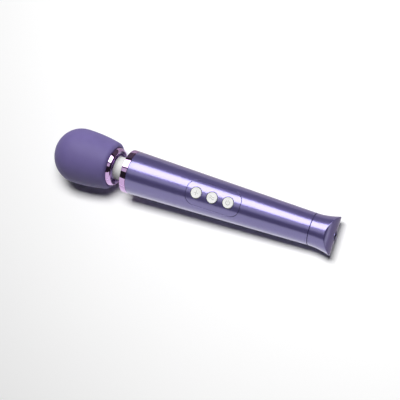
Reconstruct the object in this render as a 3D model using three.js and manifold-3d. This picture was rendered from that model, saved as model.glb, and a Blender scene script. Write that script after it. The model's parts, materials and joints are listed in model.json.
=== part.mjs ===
// A rechargeable handheld wand massager, lying on a table with its keys up. Millimetres, +Z up.
// It is modelled along its own axis: +X runs from the head's tip to the tail, and +Z goes out through the keys.
// At the end the whole wand is laid down on its head and tail, with the origin under the middle of its box.
import * as THREE from "three";
import { mergeVertices } from "three/addons/utils/BufferGeometryUtils.js";
import Module from "manifold-3d";

const wasm = await Module();
wasm.setup();

// ---- Driving dimensions -------------------------------------------------------------------------------------------

const gap = 0.3; // between pieces that touch on the real wand
const runningGap = 0.1; // around a shaft that turns

// Head
const headRadius = 23.5; // at its widest place
const noseLength = 22.5; // from the tip to the widest place
const skirtX = 52; // where the tapering flank ends
const skirtRadius = 20.4;
const skirtEdgeRadius = 3.8; // rolled rear edge of the soft cover
const coverWall = 2.6;
const housingWall = 1.8;
const housingSplitX = 30; // joint between the two motor housings
const bulkheadThickness = 2.5;
const leadHoleRadius = 4.5;

// Collar behind the head
const collarRadius = 16.7; // under the cover's lip
const collarLipRadius = 15.3; // at the rear lip
const collarLipX = 57.6;
const collarRearX = 59.4;
const collarLipRound = 0.5;

// Flexible neck
const neckRadius = 9.75;
const neckBoreRadius = 7.2;
const neckFlangeWidth = 2.65; // past the neck's outside
const neckFlangeThickness = 3.5;
const springWireRadius = 0.6;
const springTurns = 5;
const leadGuideRadius = 3.6;
const leadGuideBoreRadius = 2.3;
const leadGuideLength = 3;

// Vibration motor
const motorRadius = 11.5;
const motorFrontX = 22;
const motorLength = 18;
const motorWall = 1;
const shaftRadius = 1.25;
const bushRadius = 3.5;
const bushLength = 4;
const weightRadius = 11;
const weightLength = 11;
const magnetThickness = 2;
const armatureRadius = 7.6;
const commutatorRadius = 3;
const endCapThickness = 2;
const cushionLength = 8;

// Handle
const overallLength = 252; // from the head's tip to the end face
const tailLength = 19; // from the seam to the end face
const handleFrontX = 69;
const handleFrontRadius = 18.4;
const frontRingWidth = 5;
const frontRingPlate = 2.2;
const ringSpigotLength = 8;
const spigotWall = 1.6;
const seamRadius = 13.3;
const tubeWall = 1.6;
const neckClampThickness = 3;

// Control panel and keys
const panelCentreX = 151.15;
const panelLength = 47.3;
const panelHalfWidth = 10.5;
const panelCornerRadius = 8;
const keyPitch = 13.9;
const keyRadius = 4.6;
const keyGap = 0.5;
const keyProud = 0.4; // height of a key above the panel
const keyFlangeWidth = 0.6; // past the key's side
const keyFlangeThickness = 0.8;
const keyTravel = 0.6;
const plungerRadius = 1.1;
const gasketThickness = 0.6;

// Chassis, board and cell
const chassisFrontX = 84;
const chassisSetback = 13; // of its rear end, from the seam
const chassisWall = 1.4;
const chassisDrop = 3.7; // of its sides, below the board
const ribThickness = 3;
const ribPitch = 11.3; // between the two ribs behind the cell
const boardOverhang = [3.5, 3]; // past the first and last ribs
const boardHalfWidth = 8.5;
const boardThickness = 1.2;
const boardClearance = 0.5; // above the cell
const boardScrewY = 6.4;
const switchSize = 6;
const switchHeight = 1.2;
const cellRadius = 9.1;
const cellLength = 65;
const cellFrontX = 96.6;
const cellClearance = 0.7; // to the chassis, under its rear end
const tabSpace = 3.1; // between the cell's ends and the ribs
const tabThickness = 0.3;
const screwShaftRadius = 0.8;
const screwHeadRadius = 1.6;
const screwHeadHeight = 1.1;

// Tail
const tailFlareSide = 3.4; // how far the tail's two wings spread past the handle's taper
const tailFlareDepth = 2.3; // the same, towards the keys and away from them
const tailFlarePower = 1.8;
const tailEndRadius = 19.3; // crown of the end face, seen from the side
const tailSpigotLength = 10;
const tailCavityRadius = 9.6;
const tailEndWall = 8;
const sealRadius = 0.5;
const sealSetback = 5; // of the seal ring from the seam
const bezelRadius = 3.8;
const bezelBoreRadius = 3.2;
const bezelDepth = 2.5;
const jackRadius = 3.7;
const jackLength = 12.5; // without its nose, which stands in the bezel
const jackNoseSetback = 0.3; // from the bezel's face
const jackBoreRadius = 2.4;
const jackBoreDepth = 12;
const jackPinRadius = 0.65;
const jackPinSetback = 2; // of the pin's tip, from the bezel's face
const bossWall = 1.5;

const leadRadius = 0.6;
const leadSides = 6;

const outerSegments = 36;
const innerSegments = 20;
const screwSegments = 10;

// ---- Places worked out from them ----------------------------------------------------------------------------------

const seamX = overallLength - tailLength; // between tube and tail cap
const handleRadius = (x) =>
  THREE.MathUtils.mapLinear(x, handleFrontX, seamX, handleFrontRadius, seamRadius);
const tubeInside = (x) => handleRadius(x) - tubeWall;

// Radius of the head between its widest place and the skirt.
const flankRadius = (x) =>
  headRadius - (headRadius - skirtRadius) * ((x - noseLength) / (skirtX - noseLength)) ** 2;
const flankSlope = (-2 * (headRadius - skirtRadius)) / (skirtX - noseLength);

const housingInset = coverWall + gap;
const collarFrontX = skirtX - bulkheadThickness;
const bulkheadFrontX = collarFrontX - gap - bulkheadThickness;
const collarBore = neckRadius + gap + 0.05;
const neckFlangeRadius = neckRadius + neckFlangeWidth;
const headScrewCircle = (neckFlangeRadius + gap + collarRadius) / 2;
const flangeFrontX = collarFrontX + gap;
const collarShelfX = flangeFrontX + neckFlangeThickness + gap;
const ringShelfX = handleFrontX + frontRingPlate;
const neckRearX = ringShelfX + gap + neckFlangeThickness;
const neckPivotX = (collarRearX + handleFrontX) / 2;
const springMeanRadius = neckBoreRadius - gap - springWireRadius;

const motorRearX = motorFrontX + motorLength;
const magnetRadius = motorRadius - motorWall - gap;
const keyXs = [-1, 0, 1].map((i) => panelCentreX - 0.75 + i * keyPitch);
const chassisRearX = seamX - chassisSetback;
const chassisOutside = (x) => tubeInside(x) - gap;
const cellRearX = cellFrontX + cellLength;
const cellZ = cellRadius + cellClearance - (chassisOutside(cellRearX) - chassisWall);
const ribFrontX = cellFrontX - tabSpace - ribThickness;
const ribMiddleX = cellRearX + tabSpace;
const ribRearX = ribMiddleX + ribPitch;
const boardX = [ribFrontX - boardOverhang[0], ribRearX + ribThickness + boardOverhang[1]];
const boardBottomZ = cellZ + cellRadius + boardClearance;
const boardTopZ = boardBottomZ + boardThickness;
const keyFlangeRadius = keyRadius + keyFlangeWidth;
const keyTopZ = (x) => handleRadius(x) + keyProud;
const keyFlangeTopZ = (x) => Math.sqrt(tubeInside(x) ** 2 - keyFlangeRadius ** 2) - gasketThickness - 2 * gap;
const keyFlangeBottomZ = (x) => keyFlangeTopZ(x) - keyFlangeThickness;
const tailSpigotRadius = tubeInside(seamX) - gap;
const sealX = seamX - sealSetback;
const sealRingRadius = tubeInside(sealX) - gap / 2 - sealRadius;
const jackRearX = overallLength - bezelDepth - gap - jackLength;

// ---- Geometry helpers ---------------------------------------------------------------------------------------------

// The same surface with its vertices merged and its collapsed triangles dropped, facing outwards.
function closed(geometry) {
  const bare = new THREE.BufferGeometry().setAttribute("position", geometry.getAttribute("position"));
  if (geometry.index) bare.setIndex(geometry.index);
  const merged = mergeVertices(bare, 1e-4);
  const old = merged.index.array;
  const index = [];
  for (let i = 0; i < old.length; i += 3) {
    const [a, b, c] = [old[i], old[i + 1], old[i + 2]];
    if (a !== b && b !== c && a !== c) index.push(a, b, c);
  }
  merged.setIndex(index);
  if (signedVolume(merged) < 0) merged.setIndex(index.reverse());
  return merged;
}

function signedVolume(geometry) {
  const at = (i) => new THREE.Vector3().fromBufferAttribute(geometry.getAttribute("position"), i);
  const index = geometry.index.array;
  let sum = 0;
  for (let i = 0; i < index.length; i += 3) {
    sum += at(index[i]).dot(at(index[i + 1]).cross(at(index[i + 2]))) / 6;
  }
  return sum;
}

function solid(geometry) {
  const shape = closed(geometry);
  return new wasm.Manifold(
    new wasm.Mesh({
      numProp: 3,
      vertProperties: new Float32Array(shape.getAttribute("position").array),
      triVerts: new Uint32Array(shape.index.array),
    }),
  );
}

function fromSolid(body) {
  const mesh = body.getMesh();
  return new THREE.BufferGeometry()
    .setAttribute("position", new THREE.BufferAttribute(new Float32Array(mesh.vertProperties), 3))
    .setIndex(new THREE.BufferAttribute(new Uint32Array(mesh.triVerts), 1));
}

// One geometry less the others, joined with the others, or held within another.
const cut = (geometry, ...tools) =>
  fromSolid(tools.reduce((body, tool) => body.subtract(solid(tool)), solid(geometry)));
const join = (geometry, ...more) =>
  fromSolid(more.reduce((body, other) => body.add(solid(other)), solid(geometry)));
const within = (geometry, other) => fromSolid(solid(geometry).intersect(solid(other)));

// A profile of [x, radius] points turned round the wand's axis. It starts and ends on the axis, or closes on itself.
function revolve(profile, segments = innerSegments) {
  const points = profile.map(([x, radius]) => new THREE.Vector2(Math.max(radius, 0), x));
  const onAxis = points[0].x < 1e-9 && points.at(-1).x < 1e-9;
  if (!onAxis) points.push(points[0].clone());
  return closed(new THREE.LatheGeometry(points, segments).rotateZ(-Math.PI / 2));
}

// A ring between two radii, or a disc where the inner radius is left out.
function ring(fromX, toX, outer, inner = 0, segments = innerSegments) {
  return revolve([[fromX, inner], [fromX, outer], [toX, outer], [toX, inner]], segments);
}

function block(fromX, toX, halfWidth, fromZ, toZ, y = 0) {
  return new THREE.BoxGeometry(toX - fromX, 2 * halfWidth, toZ - fromZ)
    .translate((fromX + toX) / 2, y, (fromZ + toZ) / 2);
}

// An upright cylinder, along Z.
function post(x, y, fromZ, toZ, radius, segments = innerSegments) {
  return new THREE.CylinderGeometry(radius, radius, toZ - fromZ, segments)
    .rotateX(Math.PI / 2)
    .translate(x, y, (fromZ + toZ) / 2);
}

const roundPoints = (centreX, centreRadius, radius, fromDegrees, toDegrees, steps) =>
  Array.from({ length: steps + 1 }, (_, i) => {
    const angle = THREE.MathUtils.degToRad(fromDegrees + ((toDegrees - fromDegrees) * i) / steps);
    return [centreX + radius * Math.cos(angle), centreRadius + radius * Math.sin(angle)];
  });

// Half outline of the head from its tip to stopX, set in from the outer surface.
function headOutline(inset, stopX, noseSteps = 7, flankSteps = 3) {
  const nose = Array.from({ length: noseSteps + 1 }, (_, i) => {
    const angle = ((i / noseSteps) * Math.PI) / 2;
    const along = (noseLength - inset) * Math.cos(angle);
    return [noseLength - along, (headRadius - inset) * Math.sin(angle)];
  });
  const flank = Array.from({ length: flankSteps }, (_, i) => {
    const x = noseLength + ((stopX - noseLength) * (i + 1)) / flankSteps;
    return [x, flankRadius(x) - inset];
  });
  return [...nose, ...flank];
}

// A round cord along hand-placed points.
function lead(points) {
  const path = new THREE.CatmullRomCurve3(points.map((p) => new THREE.Vector3(...p)), false, "centripetal");
  const section = new THREE.Shape();
  section.absarc(0, 0, leadRadius, 0, 2 * Math.PI);
  return new THREE.ExtrudeGeometry(section, {
    steps: 3 * (points.length - 1),
    curveSegments: leadSides / 2,
    bevelEnabled: false,
    extrudePath: path,
  });
}

// ---- Materials ----------------------------------------------------------------------------------------------------

const finish = (color, roughness, metalness) =>
  new THREE.MeshStandardMaterial({ color, roughness, metalness });
const softSilicone = finish(0x6a5e98, 0.6, 0);
const violetChrome = finish(0xb08ad0, 0.08, 1);
const violetLacquer = finish(0x7460a8, 0.3, 0.85);
const whiteSilicone = finish(0xe8e8e4, 0.5, 0);
const whiteKeys = finish(0xf2f2f0, 0.4, 0);
const innerPlastic = finish(0x3a3b40, 0.6, 0);
const blackPlastic = finish(0x141416, 0.4, 0);
const steel = finish(0xb8bcc2, 0.3, 1);
const brass = finish(0xc9a45a, 0.3, 1);
const copper = finish(0xb0683a, 0.35, 1);
const ferrite = finish(0x2c2c30, 0.7, 0.3);
const rubber = finish(0x202022, 0.8, 0);
const boardGreen = finish(0x1f5a36, 0.5, 0);
const cellWrap = finish(0x2a6fb0, 0.4, 0);
const redWire = finish(0xb02020, 0.5, 0);
const blackWire = finish(0x18181a, 0.5, 0);

const wand = new THREE.Group();

function piece(name, geometry, material) {
  const mesh = new THREE.Mesh(closed(geometry), material);
  mesh.name = name;
  wand.add(mesh);
  return mesh;
}

// ---- Head ---------------------------------------------------------------------------------------------------------

// The rolled edge leaves the flank on its own slope and ends square to the axis.
function skirtEdge() {
  const start = THREE.MathUtils.radToDeg(Math.atan(-flankSlope));
  const normal = THREE.MathUtils.degToRad(90 - start);
  const centreX = skirtX - skirtEdgeRadius * Math.cos(normal);
  const centreRadius = skirtRadius - skirtEdgeRadius * Math.sin(normal);
  return roundPoints(centreX, centreRadius, skirtEdgeRadius, 90 - start, 0, 5).slice(1);
}

function headCover() {
  const edge = skirtEdge();
  const lipRadius = collarRadius + gap;
  const outside = [...headOutline(0, skirtX), ...edge.filter(([, radius]) => radius > lipRadius)];
  const endX = outside.at(-1)[0];
  const inside = headOutline(coverWall, collarFrontX).reverse();
  const lip = [[endX, lipRadius], [collarFrontX, lipRadius]];
  return revolve([...outside, ...lip, ...inside], outerSegments);
}

function motorHousingFront() {
  const outside = headOutline(housingInset, housingSplitX, 7, 1);
  const inside = headOutline(housingInset + housingWall, housingSplitX, 7, 1).reverse();
  return revolve([...outside, ...inside]);
}

const headScrewPlaces = [90, 210, 330].map((degrees) => {
  const angle = THREE.MathUtils.degToRad(degrees);
  return [headScrewCircle * Math.cos(angle), headScrewCircle * Math.sin(angle)];
});

// A bar along X, off the axis.
const bar = (fromX, toX, radius, [y, z], segments = screwSegments) =>
  ring(fromX, toX, radius, 0, segments).translate(0, y, z);

function motorHousingRear() {
  const frontX = housingSplitX + gap;
  const rearX = bulkheadFrontX + bulkheadThickness;
  const stations = [0, 1, 2, 3].map((i) => frontX + ((rearX - frontX) * i) / 3);
  const outside = stations.map((x) => [x, flankRadius(x) - housingInset]);
  const wallInside = (x) => flankRadius(x) - housingInset - housingWall;
  const cup = revolve([
    ...outside,
    [rearX, leadHoleRadius],
    [bulkheadFrontX, leadHoleRadius],
    [bulkheadFrontX, wallInside(bulkheadFrontX)],
    [frontX, wallInside(frontX)],
  ]);
  const holes = headScrewPlaces.map((place) =>
    bar(bulkheadFrontX - 1, rearX + 1, screwShaftRadius + gap, place));
  return cut(cup, ...holes);
}

function headCollar() {
  const lip = roundPoints(
    collarLipX - collarLipRound, collarLipRadius - collarLipRound, collarLipRound, 60, -10, 3);
  const shell = revolve([
    [collarFrontX, collarRadius],
    [skirtX + 2.4, collarRadius],
    ...lip,
    [collarRearX, collarBore + 0.5],
    [collarRearX, collarBore],
    [collarShelfX, collarBore],
    [collarShelfX, neckFlangeRadius + gap],
    [collarFrontX, neckFlangeRadius + gap],
  ], outerSegments);
  const holes = headScrewPlaces.map((place) =>
    bar(collarFrontX - 1, collarFrontX + 4, screwShaftRadius + gap, place));
  return cut(shell, ...holes);
}

function headScrew(place) {
  const headFrontX = bulkheadFrontX - gap - screwHeadHeight;
  const head = bar(headFrontX, bulkheadFrontX - gap, screwHeadRadius, place);
  const shaft = bar(headFrontX + 0.2, collarFrontX + 3.4, screwShaftRadius, place);
  return join(head, shaft);
}

piece("head_cover", headCover(), softSilicone);
piece("motor_housing_front", motorHousingFront(), innerPlastic);
piece("motor_housing_rear", motorHousingRear(), innerPlastic);
piece("head_collar", headCollar(), violetChrome);
headScrewPlaces.forEach((place, i) => piece(`head_screw_${i + 1}`, headScrew(place), steel));

// ---- Vibration motor ----------------------------------------------------------------------------------------------

const endCapFrontX = motorRearX - endCapThickness;
const bushFrontX = motorFrontX - 1.5;
const weightFrontX = bushFrontX - gap - weightLength;
const commutatorFrontX = endCapFrontX - 2.6;
const armatureFrontX = bushFrontX + bushLength + 1.2;
const shaftBoreRadius = shaftRadius + runningGap;

function motorCan() {
  const boreRadius = bushRadius + gap;
  return revolve([
    [motorFrontX, boreRadius],
    [motorFrontX, motorRadius],
    [motorRearX, motorRadius],
    [motorRearX, motorRadius - motorWall],
    [motorFrontX + motorWall, motorRadius - motorWall],
    [motorFrontX + motorWall, boreRadius],
  ]);
}

// A flat shape in the wand's YZ plane, made solid along X.
function slab(shape, fromX, toX, curveSegments = 10) {
  return new THREE.ExtrudeGeometry(shape, { depth: toX - fromX, bevelEnabled: false, curveSegments })
    .applyMatrix4(new THREE.Matrix4().makeBasis(
      new THREE.Vector3(0, 1, 0), new THREE.Vector3(0, 0, 1), new THREE.Vector3(1, 0, 0)))
    .translate(fromX, 0, 0);
}

function magnet(side) {
  const half = THREE.MathUtils.degToRad(62);
  const middle = (side * Math.PI) / 2;
  const shape = new THREE.Shape();
  shape.absarc(0, 0, magnetRadius, middle - half, middle + half, false);
  shape.absarc(0, 0, magnetRadius - magnetThickness, middle + half, middle - half, true);
  return slab(shape, armatureFrontX - 0.8, commutatorFrontX, 8);
}

// Three wound poles round the shaft.
function armature() {
  const shape = new THREE.Shape();
  const poleHalf = THREE.MathUtils.degToRad(46);
  const waistRadius = armatureRadius * 0.45;
  for (let i = 0; i < 3; i++) {
    const middle = (i * 2 * Math.PI) / 3;
    if (i === 0) shape.moveTo(armatureRadius * Math.cos(-poleHalf), armatureRadius * Math.sin(-poleHalf));
    shape.absarc(0, 0, armatureRadius, middle - poleHalf, middle + poleHalf, false);
    const notch = middle + Math.PI / 3;
    shape.lineTo(waistRadius * Math.cos(notch), waistRadius * Math.sin(notch));
  }
  const hole = new THREE.Path();
  hole.absarc(0, 0, shaftBoreRadius, 0, 2 * Math.PI, false);
  shape.holes.push(hole);
  return slab(shape, armatureFrontX, commutatorFrontX - gap, 6);
}

function eccentricWeight() {
  const shape = new THREE.Shape();
  shape.absarc(0, 0, weightRadius, Math.PI, 2 * Math.PI, false);
  shape.absarc(0, 0, bushRadius, 0, Math.PI, false);
  const hole = new THREE.Path();
  hole.absarc(0, 0, shaftBoreRadius, 0, 2 * Math.PI, false);
  shape.holes.push(hole);
  return slab(shape, weightFrontX, weightFrontX + weightLength, 12);
}

function motorCushion() {
  const frontX = housingSplitX + 1.5;
  const rearX = frontX + cushionLength;
  const outer = flankRadius(rearX) - housingInset - housingWall - 2 * gap;
  return ring(frontX, rearX, outer, motorRadius + gap);
}

const terminal = (side) => block(motorRearX + gap, motorRearX + 3, 0.3, -1.2, 1.2, side * 6);

piece("motor_can", motorCan(), steel);
piece("motor_front_bush", ring(bushFrontX, bushFrontX + bushLength, bushRadius, shaftBoreRadius), brass);
piece("motor_end_cap",
  ring(endCapFrontX, motorRearX, motorRadius - motorWall - gap, shaftBoreRadius), blackPlastic);
piece("motor_terminal_red", terminal(1), brass);
piece("motor_terminal_black", terminal(-1), brass);
piece("magnet_upper", magnet(1), ferrite);
piece("magnet_lower", magnet(-1), ferrite);
piece("motor_cushion", motorCushion(), rubber);
piece("motor_shaft", ring(weightFrontX - 1, motorRearX + 1, shaftRadius, 0, 12), steel);
piece("eccentric_weight", eccentricWeight(), steel);
piece("armature", armature(), copper);
piece("commutator", ring(commutatorFrontX, endCapFrontX - gap, commutatorRadius, shaftBoreRadius, 18), copper);

// ---- Flexible neck ------------------------------------------------------------------------------------------------

function neckSleeve() {
  return revolve([
    [flangeFrontX, neckBoreRadius],
    [flangeFrontX, neckFlangeRadius],
    [flangeFrontX + neckFlangeThickness, neckFlangeRadius],
    [flangeFrontX + neckFlangeThickness, neckRadius],
    [neckPivotX, neckRadius],
    [ringShelfX + gap, neckRadius],
    [ringShelfX + gap, neckFlangeRadius],
    [neckRearX, neckFlangeRadius],
    [neckRearX, neckBoreRadius],
  ], outerSegments);
}

// An open coil that keeps the sleeve round as it bends.
class CoilCurve extends THREE.Curve {
  constructor(fromX, toX, radius, turns) {
    super();
    Object.assign(this, { fromX, toX, radius, turns });
  }

  getPoint(t, target = new THREE.Vector3()) {
    const angle = 2 * Math.PI * this.turns * t;
    const x = this.fromX + (this.toX - this.fromX) * t;
    return target.set(x, this.radius * Math.cos(angle), this.radius * Math.sin(angle));
  }
}

function neckSpring() {
  const path = new CoilCurve(
    flangeFrontX + 1, neckRearX - 1, springMeanRadius, springTurns);
  const wire = new THREE.Shape();
  wire.absarc(0, 0, springWireRadius, 0, 2 * Math.PI);
  return new THREE.ExtrudeGeometry(wire, {
    steps: 12 * springTurns, curveSegments: 3, bevelEnabled: false, extrudePath: path,
  });
}

piece("neck_sleeve", neckSleeve(), whiteSilicone);
piece("neck_spring", neckSpring(), steel);
piece("lead_guide", ring(
  neckPivotX - leadGuideLength / 2, neckPivotX + leadGuideLength / 2, leadGuideRadius, leadGuideBoreRadius),
innerPlastic);

// ---- Handle shells ------------------------------------------------------------------------------------------------

const bandRearX = handleFrontX + frontRingWidth;
const tubeFrontX = bandRearX + gap;
const spigotRearX = tubeFrontX + ringSpigotLength;
const spigotRadius = tubeInside(spigotRearX) - gap;
const edgeChamfer = 0.7;

function frontRing() {
  return revolve([
    [handleFrontX, collarBore],
    [handleFrontX, handleRadius(handleFrontX) - edgeChamfer],
    [handleFrontX + edgeChamfer, handleRadius(handleFrontX + edgeChamfer)],
    [bandRearX, handleRadius(bandRearX)],
    [bandRearX, spigotRadius],
    [spigotRearX, spigotRadius],
    [spigotRearX, spigotRadius - spigotWall],
    [neckRearX, spigotRadius - spigotWall],
    [neckRearX, neckFlangeRadius + gap],
    [ringShelfX, neckFlangeRadius + gap],
    [ringShelfX, collarBore],
  ], outerSegments);
}

// An upright block with the panel's rounded outline, set in by the given amount.
function panelBlock(inset) {
  const [halfLength, halfWidth] = [panelLength / 2 - inset, panelHalfWidth - inset];
  const radius = panelCornerRadius - inset;
  const outline = new THREE.Shape();
  [[1, 1, 0], [-1, 1, 90], [-1, -1, 180], [1, -1, 270]].forEach(([alongX, alongY, degrees]) => {
    const from = THREE.MathUtils.degToRad(degrees);
    outline.absarc(
      alongX * (halfLength - radius), alongY * (halfWidth - radius), radius, from, from + Math.PI / 2, false);
  });
  const depth = handleFrontRadius;
  return new THREE.ExtrudeGeometry(outline, { depth, bevelEnabled: false, curveSegments: 7 })
    .translate(panelCentreX, 0, handleFrontRadius / 3);
}

const shellRing = (fromX, toX) => revolve([
  [fromX, handleRadius(fromX)],
  [toX, handleRadius(toX)],
  [toX, tubeInside(toX)],
  [fromX, tubeInside(fromX)],
], outerSegments);

function controlPanel() {
  const plate = within(
    shellRing(panelCentreX - panelLength, panelCentreX + panelLength), panelBlock(gap));
  return cut(plate, ...keyXs.map((x) => post(x, 0, 0, 2 * handleFrontRadius, keyRadius + keyGap)));
}

// A soft sheet under the panel that seals round the keys.
function keyGasket() {
  const inner = (x, extra) => tubeInside(x) - gap - extra;
  const [fromX, toX] = [panelCentreX - panelLength, panelCentreX + panelLength];
  const sheet = revolve([
    [fromX, inner(fromX, 0)],
    [toX, inner(toX, 0)],
    [toX, inner(toX, gasketThickness)],
    [fromX, inner(fromX, gasketThickness)],
  ], outerSegments);
  const held = within(sheet, panelBlock(2 * gap));
  return cut(held, ...keyXs.map((x) => post(x, 0, 0, 2 * handleFrontRadius, keyRadius + keyGap)));
}

piece("front_ring", frontRing(), violetChrome);
piece("neck_clamp", ring(
  neckRearX + gap, neckRearX + gap + neckClampThickness, spigotRadius - spigotWall - gap, neckBoreRadius - 2),
innerPlastic);
piece("handle_tube", cut(shellRing(tubeFrontX, seamX - gap / 2), panelBlock(0)), violetLacquer);
piece("control_panel", controlPanel(), violetLacquer);
piece("key_gasket", keyGasket(), rubber);

// ---- Keys and their switches --------------------------------------------------------------------------------------

// A round cap with a softened edge, and a flange that stops it under the panel.
function keyCap(x) {
  const edge = 0.7;
  const top = keyTopZ(x);
  const flangeTop = keyFlangeTopZ(x);
  const flangeBottom = keyFlangeBottomZ(x);
  const profile = [
    [0, flangeBottom],
    [keyFlangeRadius, flangeBottom],
    [keyFlangeRadius, flangeTop],
    [keyRadius, flangeTop],
    [keyRadius, top - edge],
    [keyRadius - 0.2, top - 0.3],
    [keyRadius - edge, top],
    [0, top + 0.1],
  ].map(([radius, z]) => new THREE.Vector2(radius, z));
  return new THREE.LatheGeometry(profile, innerSegments).rotateX(Math.PI / 2).translate(x, 0, 0);
}

const switchTopZ = boardTopZ + gap + switchHeight;

function keySwitch(x) {
  const half = switchSize / 2;
  const body = block(x - half, x + half, half, boardTopZ + gap, switchTopZ);
  return cut(body, post(x, 0, boardTopZ, switchTopZ + 1, plungerRadius + gap, 12));
}

// The plunger's foot still clears the board when the key is fully pressed.
const keyPlunger = (x) =>
  post(x, 0, boardTopZ + keyTravel + gap, keyFlangeBottomZ(x) - 0.05, plungerRadius, 12);

const keyNames = ["intensity", "pattern", "power"];
keyXs.forEach((x, i) => {
  piece(`${keyNames[i]}_key`, keyCap(x), whiteKeys);
  piece(`${keyNames[i]}_plunger`, keyPlunger(x), blackPlastic);
  piece(`${keyNames[i]}_switch`, keySwitch(x), blackPlastic);
});

// ---- Chassis, board and cell --------------------------------------------------------------------------------------

const chassisTopZ = boardBottomZ - chassisDrop;
const boardScrewPlaces = [ribFrontX, ribRearX].flatMap((x) =>
  [-1, 1].map((side) => [x + ribThickness / 2, side * boardScrewY]));

function chassis() {
  const [fromX, toX] = [chassisFrontX, chassisRearX];
  const shell = revolve([
    [fromX, chassisOutside(fromX)],
    [toX, chassisOutside(toX)],
    [toX, chassisOutside(toX) - chassisWall],
    [fromX, chassisOutside(fromX) - chassisWall],
  ]);
  const reach = handleFrontRadius;
  const trough = within(shell, block(fromX - 1, toX + 1, reach, -reach, chassisTopZ));
  const ribs = [ribFrontX, ribMiddleX, ribRearX].map((x) => {
    const plug = ring(x, x + ribThickness, chassisOutside(x + ribThickness) - 0.2);
    return within(plug, block(x - 1, x + ribThickness + 1, boardHalfWidth, -reach, boardBottomZ - gap));
  });
  const holes = boardScrewPlaces.map(([x, y]) =>
    post(x, y, boardBottomZ - 6, boardBottomZ, screwShaftRadius + gap, screwSegments));
  return cut(join(trough, ...ribs), ...holes);
}

function mainBoard() {
  const board = block(boardX[0], boardX[1], boardHalfWidth, boardBottomZ, boardTopZ);
  const holes = boardScrewPlaces.map(([x, y]) =>
    post(x, y, boardBottomZ - 1, boardTopZ + 1, screwShaftRadius + gap, screwSegments));
  return cut(board, ...holes);
}

function boardScrew([x, y]) {
  const headBottom = boardTopZ + gap;
  return join(
    post(x, y, headBottom, headBottom + screwHeadHeight, screwHeadRadius, screwSegments),
    post(x, y, boardBottomZ - 5, headBottom + 0.2, screwShaftRadius, screwSegments),
  );
}

// A nickel strip from the middle of the cell's end up to the underside of the board.
const cellTab = (x) => block(x, x + tabThickness, 2.5, cellZ - 3, boardBottomZ - gap);

const onBoard = (fromX, toX, halfWidth, height, y = 0) =>
  block(fromX, toX, halfWidth, boardTopZ + gap, boardTopZ + gap + height, y);
const motorSocketX = boardX[0] + 7.5;
const jackSocketX = boardX[1] - 2;

piece("chassis", chassis(), innerPlastic);
piece("main_board", mainBoard(), boardGreen);
boardScrewPlaces.forEach((place, i) => piece(`board_screw_${i + 1}`, boardScrew(place), steel));
piece("battery_cell", ring(cellFrontX, cellRearX, cellRadius).translate(0, 0, cellZ), cellWrap);
piece("cell_tab_front", cellTab(cellFrontX - gap - tabThickness), steel);
piece("cell_tab_rear", cellTab(cellRearX + gap), steel);
piece("motor_socket", onBoard(motorSocketX, motorSocketX + 5, 3.5, 3), whiteKeys);
piece("jack_socket", onBoard(jackSocketX - 4, jackSocketX, 3.5, 3), whiteKeys);
piece("controller_chip", onBoard(boardX[0] + 23, boardX[0] + 30, 3.5, 1), blackPlastic);
piece("charger_chip", onBoard(boardX[0] + 14, boardX[0] + 18, 2, 1), blackPlastic);
piece("key_light", onBoard(keyXs[2] + 6, keyXs[2] + 8, 0.6, 0.8, 4), whiteKeys);

// ---- Tail ---------------------------------------------------------------------------------------------------------

// Past the seam the handle's taper spreads into two side wings, and less so in depth.
function spreadTail(geometry) {
  const place = geometry.getAttribute("position");
  for (let i = 0; i < place.count; i++) {
    const x = place.getX(i);
    const share = Math.max(0, (x - seamX) / (overallLength - seamX)) ** tailFlarePower;
    const radius = handleRadius(x);
    place.setY(i, place.getY(i) * (1 + (tailFlareSide * share) / radius));
    place.setZ(i, place.getZ(i) * (1 + (tailFlareDepth * share) / radius));
  }
  return geometry;
}

function tailCap() {
  const frontX = seamX + gap / 2;
  const stations = [0, 0.2, 0.4, 0.55, 0.7, 0.85, 1].map((share) => frontX + share * (overallLength - frontX));
  const wall = stations.map((x) => [x, handleRadius(x)]);
  const flared = spreadTail(revolve([[frontX, 0], ...wall, [overallLength, 0]], outerSegments));
  const crown = new THREE.CylinderGeometry(tailEndRadius, tailEndRadius, 4 * tailEndRadius, 48)
    .rotateY(Math.PI / 48)
    .translate(overallLength - tailEndRadius, 0, 0);
  const spigotFrontX = seamX - tailSpigotLength;
  const grooveHalf = sealRadius + gap;
  const spigot = revolve([
    [spigotFrontX, 0],
    [spigotFrontX, tailSpigotRadius],
    [sealX - grooveHalf, tailSpigotRadius],
    [sealX - grooveHalf, sealRingRadius - sealRadius - gap],
    [sealX + grooveHalf, sealRingRadius - sealRadius - gap],
    [sealX + grooveHalf, tailSpigotRadius],
    [frontX + 1, tailSpigotRadius],
    [frontX + 1, 0],
  ]);
  const bossRadius = jackRadius + gap;
  const cavityRearX = overallLength - tailEndWall;
  const cavity = ring(spigotFrontX - 1, cavityRearX, tailCavityRadius);
  const boss = ring(jackRearX, cavityRearX + 1, bossRadius + bossWall);
  const shell = join(cut(join(within(flared, crown), spigot), cavity), boss);
  return cut(shell, ring(jackRearX - 1, overallLength + 1, bossRadius));
}

function chargeJack() {
  const shoulderX = jackRearX + jackLength;
  const noseX = overallLength - jackNoseSetback;
  return revolve([
    [jackRearX, jackPinRadius + gap / 2],
    [jackRearX, jackRadius],
    [shoulderX, jackRadius],
    [shoulderX, bezelBoreRadius - gap],
    [noseX, bezelBoreRadius - gap],
    [noseX, jackBoreRadius],
    [noseX - jackBoreDepth, jackBoreRadius],
    [noseX - jackBoreDepth, jackPinRadius + gap / 2],
  ]);
}

function jackPin() {
  const tipX = overallLength - jackPinSetback;
  return revolve([
    [jackRearX - 1.5, 0],
    [jackRearX - 1.5, jackPinRadius],
    [tipX - 0.4, jackPinRadius],
    [tipX, jackPinRadius * 0.5],
    [tipX, 0],
  ], 12);
}

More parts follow.
